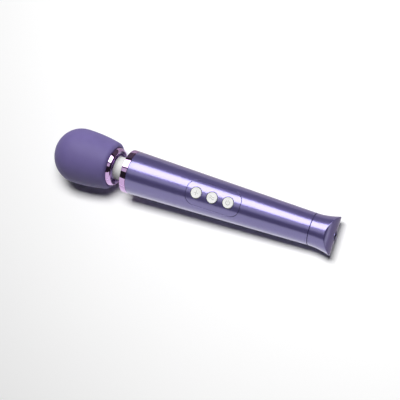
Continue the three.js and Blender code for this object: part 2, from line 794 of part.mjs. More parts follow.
piece("tail_cap", tailCap(), violetLacquer);
piece("tail_seal",
  new THREE.TorusGeometry(sealRingRadius, sealRadius, 6, innerSegments).rotateY(Math.PI / 2).translate(sealX, 0, 0),
  rubber);
piece("jack_bezel", ring(overallLength - bezelDepth, overallLength, bezelRadius, bezelBoreRadius), violetLacquer);
piece("charge_jack", chargeJack(), blackPlastic);
piece("jack_pin", jackPin(), brass);

// ---- Leads --------------------------------------------------------------------------------------------------------

// From a motor terminal, through the middle of the neck, up over the board's front edge to its socket.
const motorLead = (side) => lead([
  [motorRearX + 3.8, side * 5.6, 0],
  [motorRearX + 5.2, side * 3.4, 0],
  [bulkheadFrontX + 2, side * 1.6, 0],
  [neckPivotX - 6, side * 1.0, 0],
  [neckPivotX, side * 1.0, 0],
  [neckPivotX + 6, side * 1.0, 0],
  [neckRearX + 3, side * 1.2, 0.8],
  [boardX[0] - 3.4, side * 1.3, boardBottomZ - 1.2],
  [boardX[0] - 1.5, side * 1.3, boardTopZ + 1.2],
  [boardX[0] + 3, side * 1.4, boardTopZ + 2],
  [motorSocketX - gap, side * 1.5, boardTopZ + 1.8],
]);

// From the jack's rear, along the inside of the handle, to the socket at the board's rear end.
const jackLead = (side) => lead([
  [jackRearX - gap, side * 2.4, 0],
  [jackRearX - 5, side * 2.4, 0.8],
  [seamX - 15, side * 2.2, 3.4],
  [seamX - 30, side * 2, 6],
  [jackSocketX + 8, side * 1.7, boardTopZ + 1.6],
  [jackSocketX + gap, side * 1.5, boardTopZ + 1.8],
]);

piece("motor_lead_red", motorLead(1), redWire);
piece("motor_lead_black", motorLead(-1), blackWire);
piece("jack_lead_red", jackLead(1), redWire);
piece("jack_lead_black", jackLead(-1), blackWire);

// ---- Laid on the table --------------------------------------------------------------------------------------------

// The wand lies on its head and on the tail's lower rim, so its axis dips towards the tail.
const tailRimDepth = 14;
const tailRimX = overallLength - tailEndRadius + Math.sqrt(tailEndRadius ** 2 - tailRimDepth ** 2);
wand.rotation.y = Math.atan2(headRadius - tailRimDepth, tailRimX - noseLength);

const laid = new THREE.Group();
laid.add(wand);
laid.updateMatrixWorld(true);
const box = new THREE.Box3().setFromObject(laid, true);
wand.position.set(-(box.min.x + box.max.x) / 2, -(box.min.y + box.max.y) / 2, -box.min.z);

export default laid;
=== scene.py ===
"""A rechargeable handheld wand massager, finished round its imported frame.

Each piece is made along the wand's own axis in millimetres, x from the head's tip to the tail, z out
through the keys, and is then put in its place in the frame. The panel in the 3D view's sidebar makes
the pieces one by one.
"""

import json
import math

import bmesh
import bpy
from bpy.props import FloatProperty, FloatVectorProperty, IntProperty, PointerProperty
from bpy.types import Operator, Panel, PropertyGroup
from mathutils import Matrix, Vector


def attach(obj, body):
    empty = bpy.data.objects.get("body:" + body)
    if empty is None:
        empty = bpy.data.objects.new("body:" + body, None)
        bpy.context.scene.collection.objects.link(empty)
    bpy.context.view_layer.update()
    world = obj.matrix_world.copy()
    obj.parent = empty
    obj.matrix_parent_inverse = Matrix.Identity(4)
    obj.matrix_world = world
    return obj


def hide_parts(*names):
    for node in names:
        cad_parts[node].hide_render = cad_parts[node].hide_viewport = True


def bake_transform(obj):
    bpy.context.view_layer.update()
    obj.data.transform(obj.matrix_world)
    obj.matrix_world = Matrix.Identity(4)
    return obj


bl_info = {
    "name": "Wand massager",
    "version": (1, 0, 0),
    "blender": (4, 5, 0),
    "location": "View3D > Sidebar > Wand",
    "description": "Makes the pieces and finishes of a handheld wand massager",
    "category": "Add Mesh",
}

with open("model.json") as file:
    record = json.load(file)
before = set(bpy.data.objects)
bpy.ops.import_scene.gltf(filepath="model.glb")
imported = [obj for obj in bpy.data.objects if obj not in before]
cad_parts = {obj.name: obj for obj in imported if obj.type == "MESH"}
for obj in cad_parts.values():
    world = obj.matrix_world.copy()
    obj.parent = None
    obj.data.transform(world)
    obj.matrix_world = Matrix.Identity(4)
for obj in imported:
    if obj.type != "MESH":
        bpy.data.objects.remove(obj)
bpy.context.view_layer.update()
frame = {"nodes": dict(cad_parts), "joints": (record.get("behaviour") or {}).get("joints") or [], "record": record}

MM = 0.001

# ---- The wand's own axes ----------------------------------------------------------------------

joints = {joint["name"]: joint for joint in frame["joints"]}
ALONG = Vector(joints["motor_spin"]["axis"]).normalized()
OUT = Vector(joints["neck_yaw"]["axis"]).normalized()
ACROSS = OUT.cross(ALONG)
PIVOT = Vector(joints["neck_pitch"]["pos_m"])


def tip_distance():
    """Distance from the neck's pivot to the head's tip, along the wand."""
    points = frame["nodes"]["head_cover"].data.vertices
    return max((PIVOT - point.co).dot(ALONG) for point in points)


PIVOT_X = tip_distance() / MM
TURN = Matrix((ALONG, ACROSS, OUT)).transposed().to_4x4()
WAND = Matrix.Translation(PIVOT - ALONG * tip_distance()) @ TURN
TO_WAND = WAND.inverted()


def place(x, y, z):
    """A point of the wand, in millimetres along its own axes, as a point of the frame in metres."""
    return WAND @ (Vector((x, y, z)) * MM)


def span(node):
    """Lowest and highest corner of a CAD node in the wand's own axes, in millimetres."""
    points = [(TO_WAND @ vertex.co) / MM for vertex in frame["nodes"][node].data.vertices]
    low = Vector(min(point[i] for point in points) for i in range(3))
    high = Vector(max(point[i] for point in points) for i in range(3))
    return low, high


# ---- Sizes read from the frame ----------------------------------------------------------------

TUBE_FRONT, TUBE_REAR = span("handle_tube")[0].x, span("handle_tube")[1].x
COLLAR_FRONT, COLLAR_REAR = span("head_collar")[0].x, span("head_collar")[1].x
COLLAR_RADIUS = span("head_collar")[1].y
TAIL_END = span("jack_bezel")[1].x
SLEEVE_FRONT, SLEEVE_REAR = span("neck_sleeve")[0].x, span("neck_sleeve")[1].x
NECK_FLANGE_RADIUS = span("neck_sleeve")[1].y
PANEL_LOW, PANEL_HIGH = span("control_panel")
PANEL_MIDDLE = (PANEL_LOW.x + PANEL_HIGH.x) / 2
KEY_NAMES = ("intensity_key", "pattern_key", "power_key")
KEY_X = [(span(name)[0].x + span(name)[1].x) / 2 for name in KEY_NAMES]


def taper():
    """Radius of the handle at its two ends, read from the tube's outer wall."""
    outer = {}
    for vertex in frame["nodes"]["handle_tube"].data.vertices:
        point = (TO_WAND @ vertex.co) / MM
        x = round(point.x, 1)
        outer[x] = max(outer.get(x, 0), math.hypot(point.y, point.z))
    return outer[min(outer)], outer[max(outer)]


FRONT_RADIUS, SEAM_RADIUS = taper()


def handle_radius(x):
    """Radius of the tapering handle at x."""
    part = (x - TUBE_FRONT) / (TUBE_REAR - TUBE_FRONT)
    return FRONT_RADIUS + (SEAM_RADIUS - FRONT_RADIUS) * part


# ---- Fixed sizes, in millimetres --------------------------------------------------------------

FIT = 0.3  # room between two pieces that go into each other
WALL = 1.6  # of the handle's tube and of the spigots that go into it
SEAM = TUBE_REAR + FIT / 2  # middle of the joint between the tube and the tail cap
NECK_BORE = 10.1  # hole in the collar and the front ring that the sleeve goes through
FLANGE_THICKNESS = 3.5  # of the sleeve's two end flanges
KEY_STEP = 0.6  # how far a key's flange stands out under the panel

# ---- Sizes and colours a user would change ----------------------------------------------------


def length(name, text, default):
    return FloatProperty(
        name=name, description=text, default=default * MM, subtype="DISTANCE", unit="LENGTH")


def colour(name, text, default):
    return FloatVectorProperty(
        name=name, description=text, default=default, size=3, min=0, max=1, subtype="COLOR")


def share(name, text, default):
    return FloatProperty(name=name, description=text, default=default, min=0, max=1, subtype="FACTOR")


def strength(name, text, default):
    return FloatProperty(name=name, description=text, default=default, min=0)


class HeadSettings(PropertyGroup):
    cover_edge: length("Rolled edge", "Radius of the rolled rear edge of the soft cover", 3.8)
    cover_wall: length("Cover wall", "Thickness of the soft cover", 2.6)
    nose: length("Nose length", "From the head's tip to its widest place", 22.5)
    cover_colour: colour("Cover colour", "Colour of the soft silicone cover", (0.148, 0.117, 0.308))
    cover_roughness: share("Cover roughness", "Roughness of the soft silicone", 0.58)
    # Darker than the plating round it: painted shade in the dished recess.
    dish_shade_colour: colour("Dish colour", "Colour of the dished face inside the collar", (0.13, 0.06, 0.26))


class NeckSettings(PropertyGroup):
    spring_turns: IntProperty(
        name="Spring turns", description="Turns of the coil in each half of the neck", default=3, min=1)
    spring_wire: length("Spring wire", "Radius of the coil's wire", 0.6)
    sleeve_colour: colour("Sleeve colour", "Colour of the silicone sleeve", (0.72, 0.73, 0.71))


class HandleSettings(PropertyGroup):
    wall: length("Wall", "Thickness of the tube", 1.6)
    edge: length("Edge", "Radius of the softened edges of the tube and panel", 0.16)
    panel_corner: length("Panel corner", "Corner radius of the control panel", 7.7)
    lacquer_colour: colour("Lacquer colour", "Colour of the metallic lacquer", (0.185, 0.155, 0.41))
    plate_colour: colour("Plate colour", "Colour of the bright plated rings", (0.66, 0.44, 0.76))
    lacquer_roughness: share("Lacquer roughness", "Roughness of the metallic base coat", 0.3)


class KeySettings(PropertyGroup):
    gap: length("Gap", "Extra gap that shows round each key", 0.12)
    dome: length("Dome", "Rise of a key's middle above its rim", 0.12)
    mark_width: length("Mark width", "Width of the strokes of the raised marks", 0.5)
    mark_height: length("Mark height", "Height of the raised marks", 0.07)
    key_colour: colour("Key colour", "Colour of the keys", (0.93, 0.935, 0.92))


class TailSettings(PropertyGroup):
    wing: length("Wing spread", "How far the tail's wings spread past the taper", 3.4)
    depth: length("Depth spread", "How far the tail spreads towards the keys and away", 2.3)
    crown: length("Crown radius", "Radius of the end face, seen from the side", 19.3)
    rim: length("Rim", "Radius of the end face's rim", 0.5)


class StageSettings(PropertyGroup):
    floor_colour: colour("Floor colour", "Colour of the pale floor", (0.93, 0.93, 0.93))
    softbox: strength("Softbox", "Brightness of the long softbox over the wand's far side", 4.6)
    floor_light: strength("Floor light", "Brightness of the light over the floor", 34.0)
    overhead: strength("Overhead", "Brightness of the dim strip overhead, over all but the floor", 0.7)
    side_card: strength("Side card", "Brightness of the card on the near side, seen in gloss only", 0.85)
    sky: strength("Sky", "Brightness of the even light from all round", 0.02)


# ---- Mesh building ----------------------------------------------------------------------------

HALVINGS = 44  # enough to place a point as finely as its numbers allow


def mesh_piece(name, points, faces, bevel=0.0, sharp=40):
    """A smooth-shaded object from points in wand millimetres. A bevel softens its sharp corners."""
    mesh = bpy.data.meshes.new(name)
    mesh.from_pydata([tuple(place(*point)) for point in points], [], faces)
    obj = bpy.data.objects.new(name, mesh)
    bpy.context.scene.collection.objects.link(obj)
    tidy(mesh)
    if bevel:
        soften(obj, bevel)
    smooth(obj, sharp)
    return obj


def tidy(mesh, distance=1e-6):
    """Merges doubled points and turns every face outwards."""
    work = bmesh.new()
    work.from_mesh(mesh)
    bmesh.ops.remove_doubles(work, verts=work.verts, dist=distance)
    bmesh.ops.recalc_face_normals(work, faces=work.faces)
    work.to_mesh(mesh)
    work.free()


def smooth(obj, sharp):
    """Shades an object smooth, but for edges sharper than an angle in degrees."""
    obj.data.shade_smooth()
    obj.data.set_sharp_from_angle(angle=math.radians(sharp))


def apply_modifiers(obj):
    """Turns an object with modifiers into a plain mesh."""
    bpy.context.view_layer.update()
    graph = bpy.context.evaluated_depsgraph_get()
    mesh = bpy.data.meshes.new_from_object(obj.evaluated_get(graph), depsgraph=graph)
    old = obj.data
    obj.modifiers.clear()
    obj.data = mesh
    mesh.name = obj.name
    bpy.data.meshes.remove(old)


def soften(obj, width, angle=32):
    """Rounds the edges that are sharper than an angle in degrees."""
    bevel = obj.modifiers.new("Softened edges", "BEVEL")
    bevel.width = width * MM
    bevel.segments = 3
    bevel.limit_method = "ANGLE"
    bevel.angle_limit = math.radians(angle)
    bevel.miter_outer = "MITER_ARC"
    bevel.use_clamp_overlap = True
    apply_modifiers(obj)


def skin(rings, closed=False):
    """Points and faces of a surface over rings of points. A ring of one point is a pole."""
    points, faces, starts = [], [], []
    for ring in rings:
        starts.append((len(points), len(ring)))
        points.extend(ring)
    pairs = list(zip(starts, starts[1:])) + ([(starts[-1], starts[0])] if closed else [])
    for (first, count), (second, other) in pairs:
        around = max(count, other)
        for i in range(around):
            j = (i + 1) % around
            corners = [first + i % count, first + j % count, second + j % other, second + i % other]
            face = list(dict.fromkeys(corners))
            if len(face) > 2:
                faces.append(face)
    return points, faces


def ring_of(radius, segments):
    """Sideways and upward parts of points on a circle. A circle of no size is one point."""
    if radius < 1e-6:
        return [(0, 0)]
    turns = (2 * math.pi * i / segments for i in range(segments))
    return [(radius * math.sin(turn), radius * math.cos(turn)) for turn in turns]


def turned(name, profile, segments, bevel=0.0, sharp=30):
    """A solid turned round the wand's axis from a profile of (x, radius) points."""
    rings = [[(x, y, z) for y, z in ring_of(radius, segments)] for x, radius in profile]
    closed = len(rings[0]) > 1 or len(rings[-1]) > 1
    points, faces = skin(rings, closed=closed)
    return mesh_piece(name, points, faces, bevel, sharp)


def upright(name, profile, x, segments, bevel=0.0, sharp=40):
    """A solid turned round an upright axis at x, from a profile of (radius, z) points."""
    rings = [[(x + cos, sin, z) for sin, cos in ring_of(radius, segments)] for radius, z in profile]
    points, faces = skin(rings)
    return mesh_piece(name, points, faces, bevel, sharp)


def spaced(start, end, steps):
    """Evenly spaced values from start to end."""
    return [start + (end - start) * i / steps for i in range(steps + 1)]


def arc(centre, radius, start, end, steps):
    """Points of an arc in a plane, between two angles in degrees from its first axis."""
    turns = [math.radians(turn) for turn in spaced(start, end, steps)]
    return [
        (centre[0] + radius * math.cos(turn), centre[1] + radius * math.sin(turn)) for turn in turns]


def bisect(low, high, passes):
    """The value between low and high up to which a test passes."""
    for _ in range(HALVINGS):
        middle = (low + high) / 2
        if passes(middle):
            low = middle
        else:
            high = middle
    return low


def add_faces(points, faces, more_points, more_faces):
    """Adds a surface to the points and faces of another."""
    start = len(points)
    points += more_points
    faces += [[start + i for i in face] for face in more_faces]


def settle(obj, body, slot, *nodes, finish=None):
    """Gives a finished piece its material, from its finish or else its slot, puts it under its body, and hides the
    CAD nodes it stands for.
    """
    obj.data.materials.clear()
    obj.data.materials.append(finish_of(finish or slot))
    if body:
        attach(obj, body)
    if nodes:
        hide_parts(*nodes)


# ---- Materials --------------------------------------------------------------------------------

BAND_SCALE = 0.314  # scale of a wave texture whose bands are one metre apart


def add_node(tree, kind, **values):
    """Adds a node to a tree. Each value is a socket to link from or a plain default."""
    node = tree.nodes.new(kind)
    for label, value in values.items():
        socket = node.inputs[label.replace("_", " ")]
        if isinstance(value, bpy.types.NodeSocket):
            tree.links.new(value, socket)
        else:
            socket.default_value = value
    return node


class Finish:
    """A material under construction: a Principled surface with its nodes."""

    def __init__(self, name, base, roughness=0.5, metallic=0.0, **sockets):
        self.material = bpy.data.materials.new(name)
        self.material.use_nodes = True
        self.tree = self.material.node_tree
        self.surface = self.tree.nodes["Principled BSDF"].inputs
        self.place = self.node("ShaderNodeTexCoord").outputs["Object"]
        self.height = None
        self.base = base
        self.set("Base Color", (*base, 1))
        self.set("Roughness", roughness)
        self.set("Metallic", metallic)
        for socket, value in sockets.items():
            self.set(socket.replace("_", " ").title().replace("Ior", "IOR"), value)

    def set(self, socket, value):
        self.surface[socket].default_value = value

    def node(self, kind, **values):
        return add_node(self.tree, kind, **values)

    def drive(self, socket, output):
        """Links an output to a socket of the surface."""
        self.tree.links.new(output, self.surface[socket])

    def turned_place(self, scale=(1, 1, 1)):
        """Object coordinates turned to the wand's own axes."""
        mapping = self.node(
            "ShaderNodeMapping", Vector=self.place, Rotation=TO_WAND.to_euler(),
            Location=TO_WAND.to_translation())
        stretch = self.node("ShaderNodeVectorMath", Vector=mapping.outputs["Vector"])
        stretch.operation = "MULTIPLY"
        stretch.inputs[1].default_value = scale
        return stretch.outputs["Vector"]

    def noise(self, size, detail=3.0, rough=0.55, vector=None):
        """Value of a noise whose features are about size metres across."""
        return self.node(
            "ShaderNodeTexNoise", Vector=vector or self.place, Scale=1 / size, Detail=detail,
            Roughness=rough).outputs["Fac"]

    def cells(self, size, output="Color"):
        """Random value of cells about size metres across."""
        return self.node("ShaderNodeTexVoronoi", Vector=self.place, Scale=1 / size).outputs[output]

    def bands(self, size, vector, direction, distortion):
        """Value of even bands about size metres apart."""
        wave = self.node(
            "ShaderNodeTexWave", Vector=vector, Scale=BAND_SCALE / size, Distortion=distortion)
        wave.wave_type = "BANDS"
        wave.bands_direction = direction
        return wave.outputs["Fac"]

    def between(self, value, low, high, socket):
        """Drives a surface socket from low to high by a value of 0 to 1."""
        spread = self.node("ShaderNodeMapRange", Value=value, To_Min=low, To_Max=high)
        self.drive(socket, spread.outputs["Result"])

    def glow(self, colour, strength):
        """Makes the surface shine by itself."""
        self.set("Emission Color", (*colour, 1))
        self.set("Emission Strength", strength)

    def glow_far_away(self, near, far, strength):
        """Makes the surface shine with distance: not at all up to near, in full from far on."""
        self.glow((1, 1, 1), strength)
        distance = self.node("ShaderNodeVectorMath", Vector=self.place)
        distance.operation = "LENGTH"
        spread = self.node(
            "ShaderNodeMapRange", Value=distance.outputs["Value"], From_Min=near, From_Max=far,
            To_Max=strength)
        self.drive("Emission Strength", spread.outputs["Result"])

    def tint(self, value, low, high, first=0.3, last=0.7):
        """Base colour between two multiples of the base, by a value of 0 to 1."""
        ramp = self.node("ShaderNodeValToRGB", Fac=value)
        ramp.color_ramp.elements[0].position = first
        ramp.color_ramp.elements[1].position = last
        for element, factor in zip(ramp.color_ramp.elements, (low, high)):
            factors = factor if isinstance(factor, tuple) else (factor,) * 3
            element.color = (*(min(1, c * f) for c, f in zip(self.base, factors)), 1)
        self.drive("Base Color", ramp.outputs["Color"])

    def bump(self, value, depth, strength=1.0):
        """Relief of the given depth in metres, on top of what is there."""
        bump = self.node("ShaderNodeBump", Height=value, Strength=strength, Distance=depth)
        if self.height:
            self.tree.links.new(self.height, bump.inputs["Normal"])
        self.height = bump.outputs["Normal"]
        self.drive("Normal", self.height)


def soft_silicone(name, base, roughness, sheen=0.06):
    """Matte soft-touch silicone with a fine skin and a dusty sheen."""
    dust = (*(min(1, 0.4 + c) for c in base), 1)
    finish = Finish(
        name, base, roughness, specular_ior_level=0.35, sheen_weight=sheen, sheen_roughness=0.4,
        sheen_tint=dust)
    finish.tint(finish.noise(0.012, 4), 0.94, 1.05)
    finish.between(finish.noise(0.003, 3), roughness - 0.05, roughness + 0.06, "Roughness")
    finish.bump(finish.noise(0.00035, 2), 0.000012)
    return finish.material


def metallic_lacquer(name, base, roughness):
    """Metallic lacquer: a satin base coat full of fine flakes, under a clear coat."""
    finish = Finish(
        name, base, roughness, 0.7, coat_weight=1.0, coat_roughness=0.14, coat_ior=1.8,
        specular_ior_level=0.5)
    finish.tint(finish.cells(0.00014), (0.9, 0.9, 0.94), (1.1, 1.1, 1.06), 0.1, 0.9)
    finish.between(finish.noise(0.0012, 3), roughness - 0.03, roughness + 0.04, "Roughness")
    finish.bump(finish.cells(0.00016, "Distance"), 0.000003, 0.35)
    finish.bump(finish.noise(0.002, 2), 0.000004, 0.5)
    return finish.material


def bright_plate(name, base):
    """Mirror-bright tinted plating with a trace of polish."""
    finish = Finish(name, base, 0.05, 1.0, specular_ior_level=0.5)
    finish.tint(finish.noise(0.008, 3), 0.96, 1.04)
    finish.between(finish.noise(0.0015, 4, 0.7), 0.035, 0.09, "Roughness")
    return finish.material


def moulded(name, base, roughness, grain=0.0004):
    """Moulded plastic with a fine spark-eroded grain."""
    finish = Finish(name, base, roughness, specular_ior_level=0.5)
    finish.tint(finish.noise(0.006, 3), 0.93, 1.06)
    finish.between(finish.noise(0.001, 3), roughness - 0.05, roughness + 0.07, "Roughness")
    finish.bump(finish.noise(grain, 3), 0.00001)
    return finish.material


def bare_metal(name, base, roughness, scale):
    """Turned or rolled metal, with fine marks along one direction."""
    finish = Finish(name, base, roughness, 1.0)
    marks = finish.noise(0.0004, 3, vector=finish.turned_place(scale))
    finish.tint(marks, 0.86, 1.08)
    finish.between(marks, roughness - 0.06, roughness + 0.12, "Roughness")
    finish.bump(marks, 0.000006, 0.6)
    return finish.material


def rubbery(name, base):
    """Matte rubber with a dusty, slightly pitted surface."""
    finish = Finish(name, base, 0.75, specular_ior_level=0.3)
    finish.tint(finish.noise(0.002, 4), 0.8, 1.25)
    finish.bump(finish.noise(0.0005, 4), 0.00002)
    return finish.material


def circuit_board(name, base):
    """Solder mask over copper tracks that run along and across the board."""
    finish = Finish(name, base, 0.35, coat_weight=0.2, coat_roughness=0.2)
    tracks = finish.bands(0.0016, finish.turned_place((1, 6, 1)), "Y", 1.5)
    finish.tint(tracks, 0.8, (1.4, 1.25, 1.3), 0.44, 0.56)
    finish.bump(tracks, 0.00002, 0.6)
    return finish.material


def wound_copper(name, base):
    """Enamelled copper wire, wound close."""
    finish = Finish(name, base, 0.3, 1.0, coat_weight=0.4, coat_roughness=0.15)
    turns = finish.bands(0.0004, finish.turned_place(), "X", 0.4)
    # Painted shade: each turn is darker in the groove beside it and lighter on its crown.
    finish.tint(turns, 0.55, 1.15, 0.1, 0.9)
    finish.bump(turns, 0.0001, 0.8)
    return finish.material


def shrink_wrap(name, base):
    """Thin glossy film, drawn tight, with faint creases along it."""
    finish = Finish(name, base, 0.28, coat_weight=0.3, coat_roughness=0.1)
    creases = finish.noise(0.0015, 3, vector=finish.turned_place((0.15, 1, 1)))
    finish.tint(creases, 0.88, 1.1)
    finish.bump(creases, 0.00003, 0.5)
    return finish.material


def wire_cover(name, base):
    """Soft wire insulation."""
    finish = Finish(name, base, 0.45)
    finish.tint(finish.noise(0.003, 3), 0.88, 1.12)
    finish.bump(finish.noise(0.0006, 2), 0.00001)
    return finish.material


made = {}


def finish_of(name):
    """Each finish is made once, from the settings, and shared by the pieces that have it."""
    if name in made:
        return made[name]
    scene = bpy.context.scene
    head, neck, handle, keys = scene.wand_head, scene.wand_neck, scene.wand_handle, scene.wand_keys
    maker, base, *values = {
        "violet_silicone": (soft_silicone, head.cover_colour, head.cover_roughness),
        "white_silicone": (soft_silicone, neck.sleeve_colour, 0.5, 0.1),
        "violet_chrome": (bright_plate, handle.plate_colour),
        # Darker than the collar's plating: painted shade in the collar's dish.
        "violet_dish": (metallic_lacquer, head.dish_shade_colour, 0.25),
        "violet_lacquer": (metallic_lacquer, handle.lacquer_colour, handle.lacquer_roughness),
        "white_keys": (moulded, keys.key_colour, 0.38, 0.0003),
        # A grey darker than the keys: painted shade on the raised marks.
        "key_marks": (moulded, [0.6 * part for part in keys.key_colour], 0.5, 0.0003),
        "socket_plastic": (moulded, (0.78, 0.75, 0.62), 0.5),
        "lamp_lens": (moulded, (0.84, 0.84, 0.7), 0.2),
        "inner_plastic": (moulded, (0.045, 0.045, 0.052), 0.5),
        "black_plastic": (moulded, (0.012, 0.012, 0.014), 0.42),
        "steel": (bare_metal, (0.56, 0.57, 0.59), 0.28, (0.2, 1, 1)),
        "brass": (bare_metal, (0.75, 0.55, 0.22), 0.25, (1, 0.3, 0.3)),
        "copper": (wound_copper, (0.72, 0.32, 0.14)),
        "ferrite": (moulded, (0.03, 0.03, 0.034), 0.6, 0.0008),
        # Also given to the keys' skirts, where its black is painted shade in the gaps round the keys.
        "black_rubber": (rubbery, (0.016, 0.016, 0.018)),
        "board_green": (circuit_board, (0.015, 0.12, 0.045)),
        "cell_wrap": (shrink_wrap, (0.02, 0.16, 0.42)),
        "red_wire": (wire_cover, (0.42, 0.015, 0.015)),
        "black_wire": (wire_cover, (0.01, 0.01, 0.012)),
    }[name]
    made[name] = maker(name, tuple(base), *values)
    return made[name]


# ---- Head -------------------------------------------------------------------------------------


class MakeHeadCover(Operator):
    """Makes the soft domed cover of the head, with its rolled rear edge"""

    bl_idname = "wand.head_cover"
    bl_label = "Head cover"

    def execute(self, context):
        head = context.scene.wand_head
        nose, wall, edge = head.nose / MM, head.cover_wall / MM, head.cover_edge / MM
        inset = 0.06  # how far the cover stays inside its CAD solid
        widest = span("head_cover")[1].y - inset
        roll_x, roll_radius = 52.0, 20.34  # where the flank ends and the rolled edge starts
        fall = (widest - roll_radius) / (roll_x - nose) ** 2

        def outline(depth, stop, nose_steps, flank_steps):
            """Points of the nose and the flank, up to a stop, at a depth under the surface."""
            points = []
            for turn in spaced(0, math.pi / 2, nose_steps):
                points.append((
                    nose - (nose - inset - depth) * math.cos(turn), (widest - depth) * math.sin(turn)))
            for x in spaced(nose, stop, flank_steps)[1:]:
                points.append((x, widest - fall * (x - nose) ** 2 - depth))
            return points

        lean = math.degrees(math.atan(2 * fall * (roll_x - nose)))
        normal = math.radians(90 - lean)
        centre = (roll_x - edge * math.cos(normal), roll_radius - edge * math.sin(normal))
        lip = COLLAR_RADIUS + FIT
        rolled = [point for point in arc(centre, edge, 90 - lean, 0, 16)[1:] if point[1] > lip + 0.25]
        end = rolled[-1][0]
        outside, inside = outline(0, roll_x, 32, 14), outline(wall, COLLAR_FRONT, 18, 6)
        profile = outside + rolled + [(end - 0.12, lip), (COLLAR_FRONT, lip)] + inside[::-1]
        cover = turned("head_cover", profile, 128, sharp=50)
        settle(cover, "head", "violet_silicone", "head_cover")
        return {"FINISHED"}


class MakeHeadCollar(Operator):
    """Makes the bright plated collar behind the head, and the dished face inside it"""

    bl_idname = "wand.head_collar"
    bl_label = "Head collar"

    def execute(self, context):
        flange = NECK_FLANGE_RADIUS + FIT
        shelf = SLEEVE_FRONT + FLANGE_THICKNESS + FIT
        lip = COLLAR_REAR - 0.5
        # The rounded rear edge, as distances back from the lip and down from the widest radius.
        rounded = ((4.2, 0), (2.4, 0.35), (1.2, 0.9), (0.4, 1.5), (0, 2.1), (0.3, 2.4))
        profile = [(COLLAR_FRONT, COLLAR_RADIUS)]
        profile += [(lip - back, COLLAR_RADIUS - down) for back, down in rounded]
        profile += [(shelf, COLLAR_RADIUS - 2.4), (shelf, flange), (COLLAR_FRONT, flange)]
        collar = turned("head_collar", profile, 128, bevel=0.2)
        settle(collar, "head", "violet_chrome", "head_collar")
        # The dished face inside the collar gets a dark lacquer instead of the collar's bright plating: painted
        # shade in the recess.
        outer, back = COLLAR_RADIUS - 2.42, shelf + 0.1
        profile = [
            (back, outer), (lip - 0.7, outer), (lip - 2.0, outer - 0.6), (lip - 2.6, outer - 1.6),
            (lip - 2.2, NECK_BORE + 1.2), (lip - 0.6, NECK_BORE + 0.35), (lip - 0.6, NECK_BORE),
            (back, NECK_BORE)]
        dish = turned("collar_dish", profile, 128, bevel=0.15)
        settle(dish, "head", "violet_chrome", "head_collar", finish="violet_dish")
        return {"FINISHED"}


# ---- Neck -------------------------------------------------------------------------------------

# Each piece that crosses the neck is made in two halves that meet at its pivot. Each row gives a half's name,
# its body, how far the stretch that shows goes from the pivot, and its way along the wand.
NECK_HALVES = (("front", "head", -4.6, -1), ("rear", "handle", 4.6, 1))


def bend_with_neck(obj):
    """Bakes a half's place into its mesh."""
    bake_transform(obj)


class MakeNeckSleeve(Operator):
    """Makes the flexible silicone sleeve of the neck, in two halves that meet at the neck's pivot"""

    bl_idname = "wand.neck_sleeve"
    bl_label = "Neck sleeve"

    def execute(self, context):
        outer, bore = 9.75, 7.2  # radii of the sleeve between its flanges
        for half, body, offset, way in NECK_HALVES:
            end = SLEEVE_FRONT if half == "front" else SLEEVE_REAR
            shoulder = end - way * FLANGE_THICKNESS
            stretch = spaced(shoulder, PIVOT_X, 16)
            profile = [(end, bore), (end, NECK_FLANGE_RADIUS), (shoulder, NECK_FLANGE_RADIUS)]
            profile += [(x, outer) for x in stretch] + [(x, bore) for x in stretch[::-1]]
            sleeve = turned(f"neck_sleeve_{half}", profile, 96, sharp=40)
            settle(sleeve, None, "white_silicone", "neck_sleeve")
            bend_with_neck(sleeve)
        return {"FINISHED"}


class Tree:
    """A Geometry Nodes tree under construction, with named inputs."""

    def __init__(self, name, **inputs):
        self.tree = bpy.data.node_groups.new(name, "GeometryNodeTree")
        self.tree.interface.new_socket("Geometry", in_out="OUTPUT", socket_type="NodeSocketGeometry")
        for label, kind in inputs.items():
            self.tree.interface.new_socket(
                label.replace("_", " "), in_out="INPUT", socket_type=f"NodeSocket{kind}")
        self.inputs = self.tree.nodes.new("NodeGroupInput").outputs
        self.end = self.tree.nodes.new("NodeGroupOutput").inputs["Geometry"]

    def node(self, kind, **values):
        return add_node(self.tree, kind, **values)

    def scaled(self, value, factor):
        """A size times a factor."""
        node = self.node("ShaderNodeMath", Value=value)
        node.operation = "MULTIPLY"
        node.inputs[1].default_value = factor
        return node.outputs["Value"]

    def vector(self, x, y, z):
        return self.node("ShaderNodeCombineXYZ", X=x, Y=y, Z=z).outputs["Vector"]

    def moved(self, geometry, translation):
        node = self.node("GeometryNodeTransform", Geometry=geometry, Translation=translation)
        return node.outputs["Geometry"]

    def join(self, *geometries):
        join = self.tree.nodes.new("GeometryNodeJoinGeometry")
        for geometry in geometries:
            self.tree.links.new(geometry, join.inputs["Geometry"])
        return join.outputs["Geometry"]

    def finish(self, geometry, material):
        """Ends the tree in Realize Instances and Set Material."""
        real = self.node("GeometryNodeRealizeInstances", Geometry=geometry)
        painted = self.node(
            "GeometryNodeSetMaterial", Geometry=real.outputs["Geometry"], Material=material)
        self.tree.links.new(painted.outputs["Geometry"], self.end)
        return self

    def grow(self, name, values, matrix=None, points=()):
        """Runs the tree on a new object, its inputs set by name, and makes the result a plain mesh."""
        mesh = bpy.data.meshes.new(name)
        mesh.from_pydata([tuple(Vector(point) * MM) for point in points], [], [])
        obj = bpy.data.objects.new(name, mesh)
        bpy.context.scene.collection.objects.link(obj)
        modifier = obj.modifiers.new("Pattern", "NODES")
        modifier.node_group = self.tree
        for item in self.tree.interface.items_tree:
            if item.in_out == "INPUT" and item.name in values:
                modifier[item.identifier] = values[item.name]
        apply_modifiers(obj)
        if matrix:
            obj.data.transform(matrix)
        obj.data.validate()
        return obj


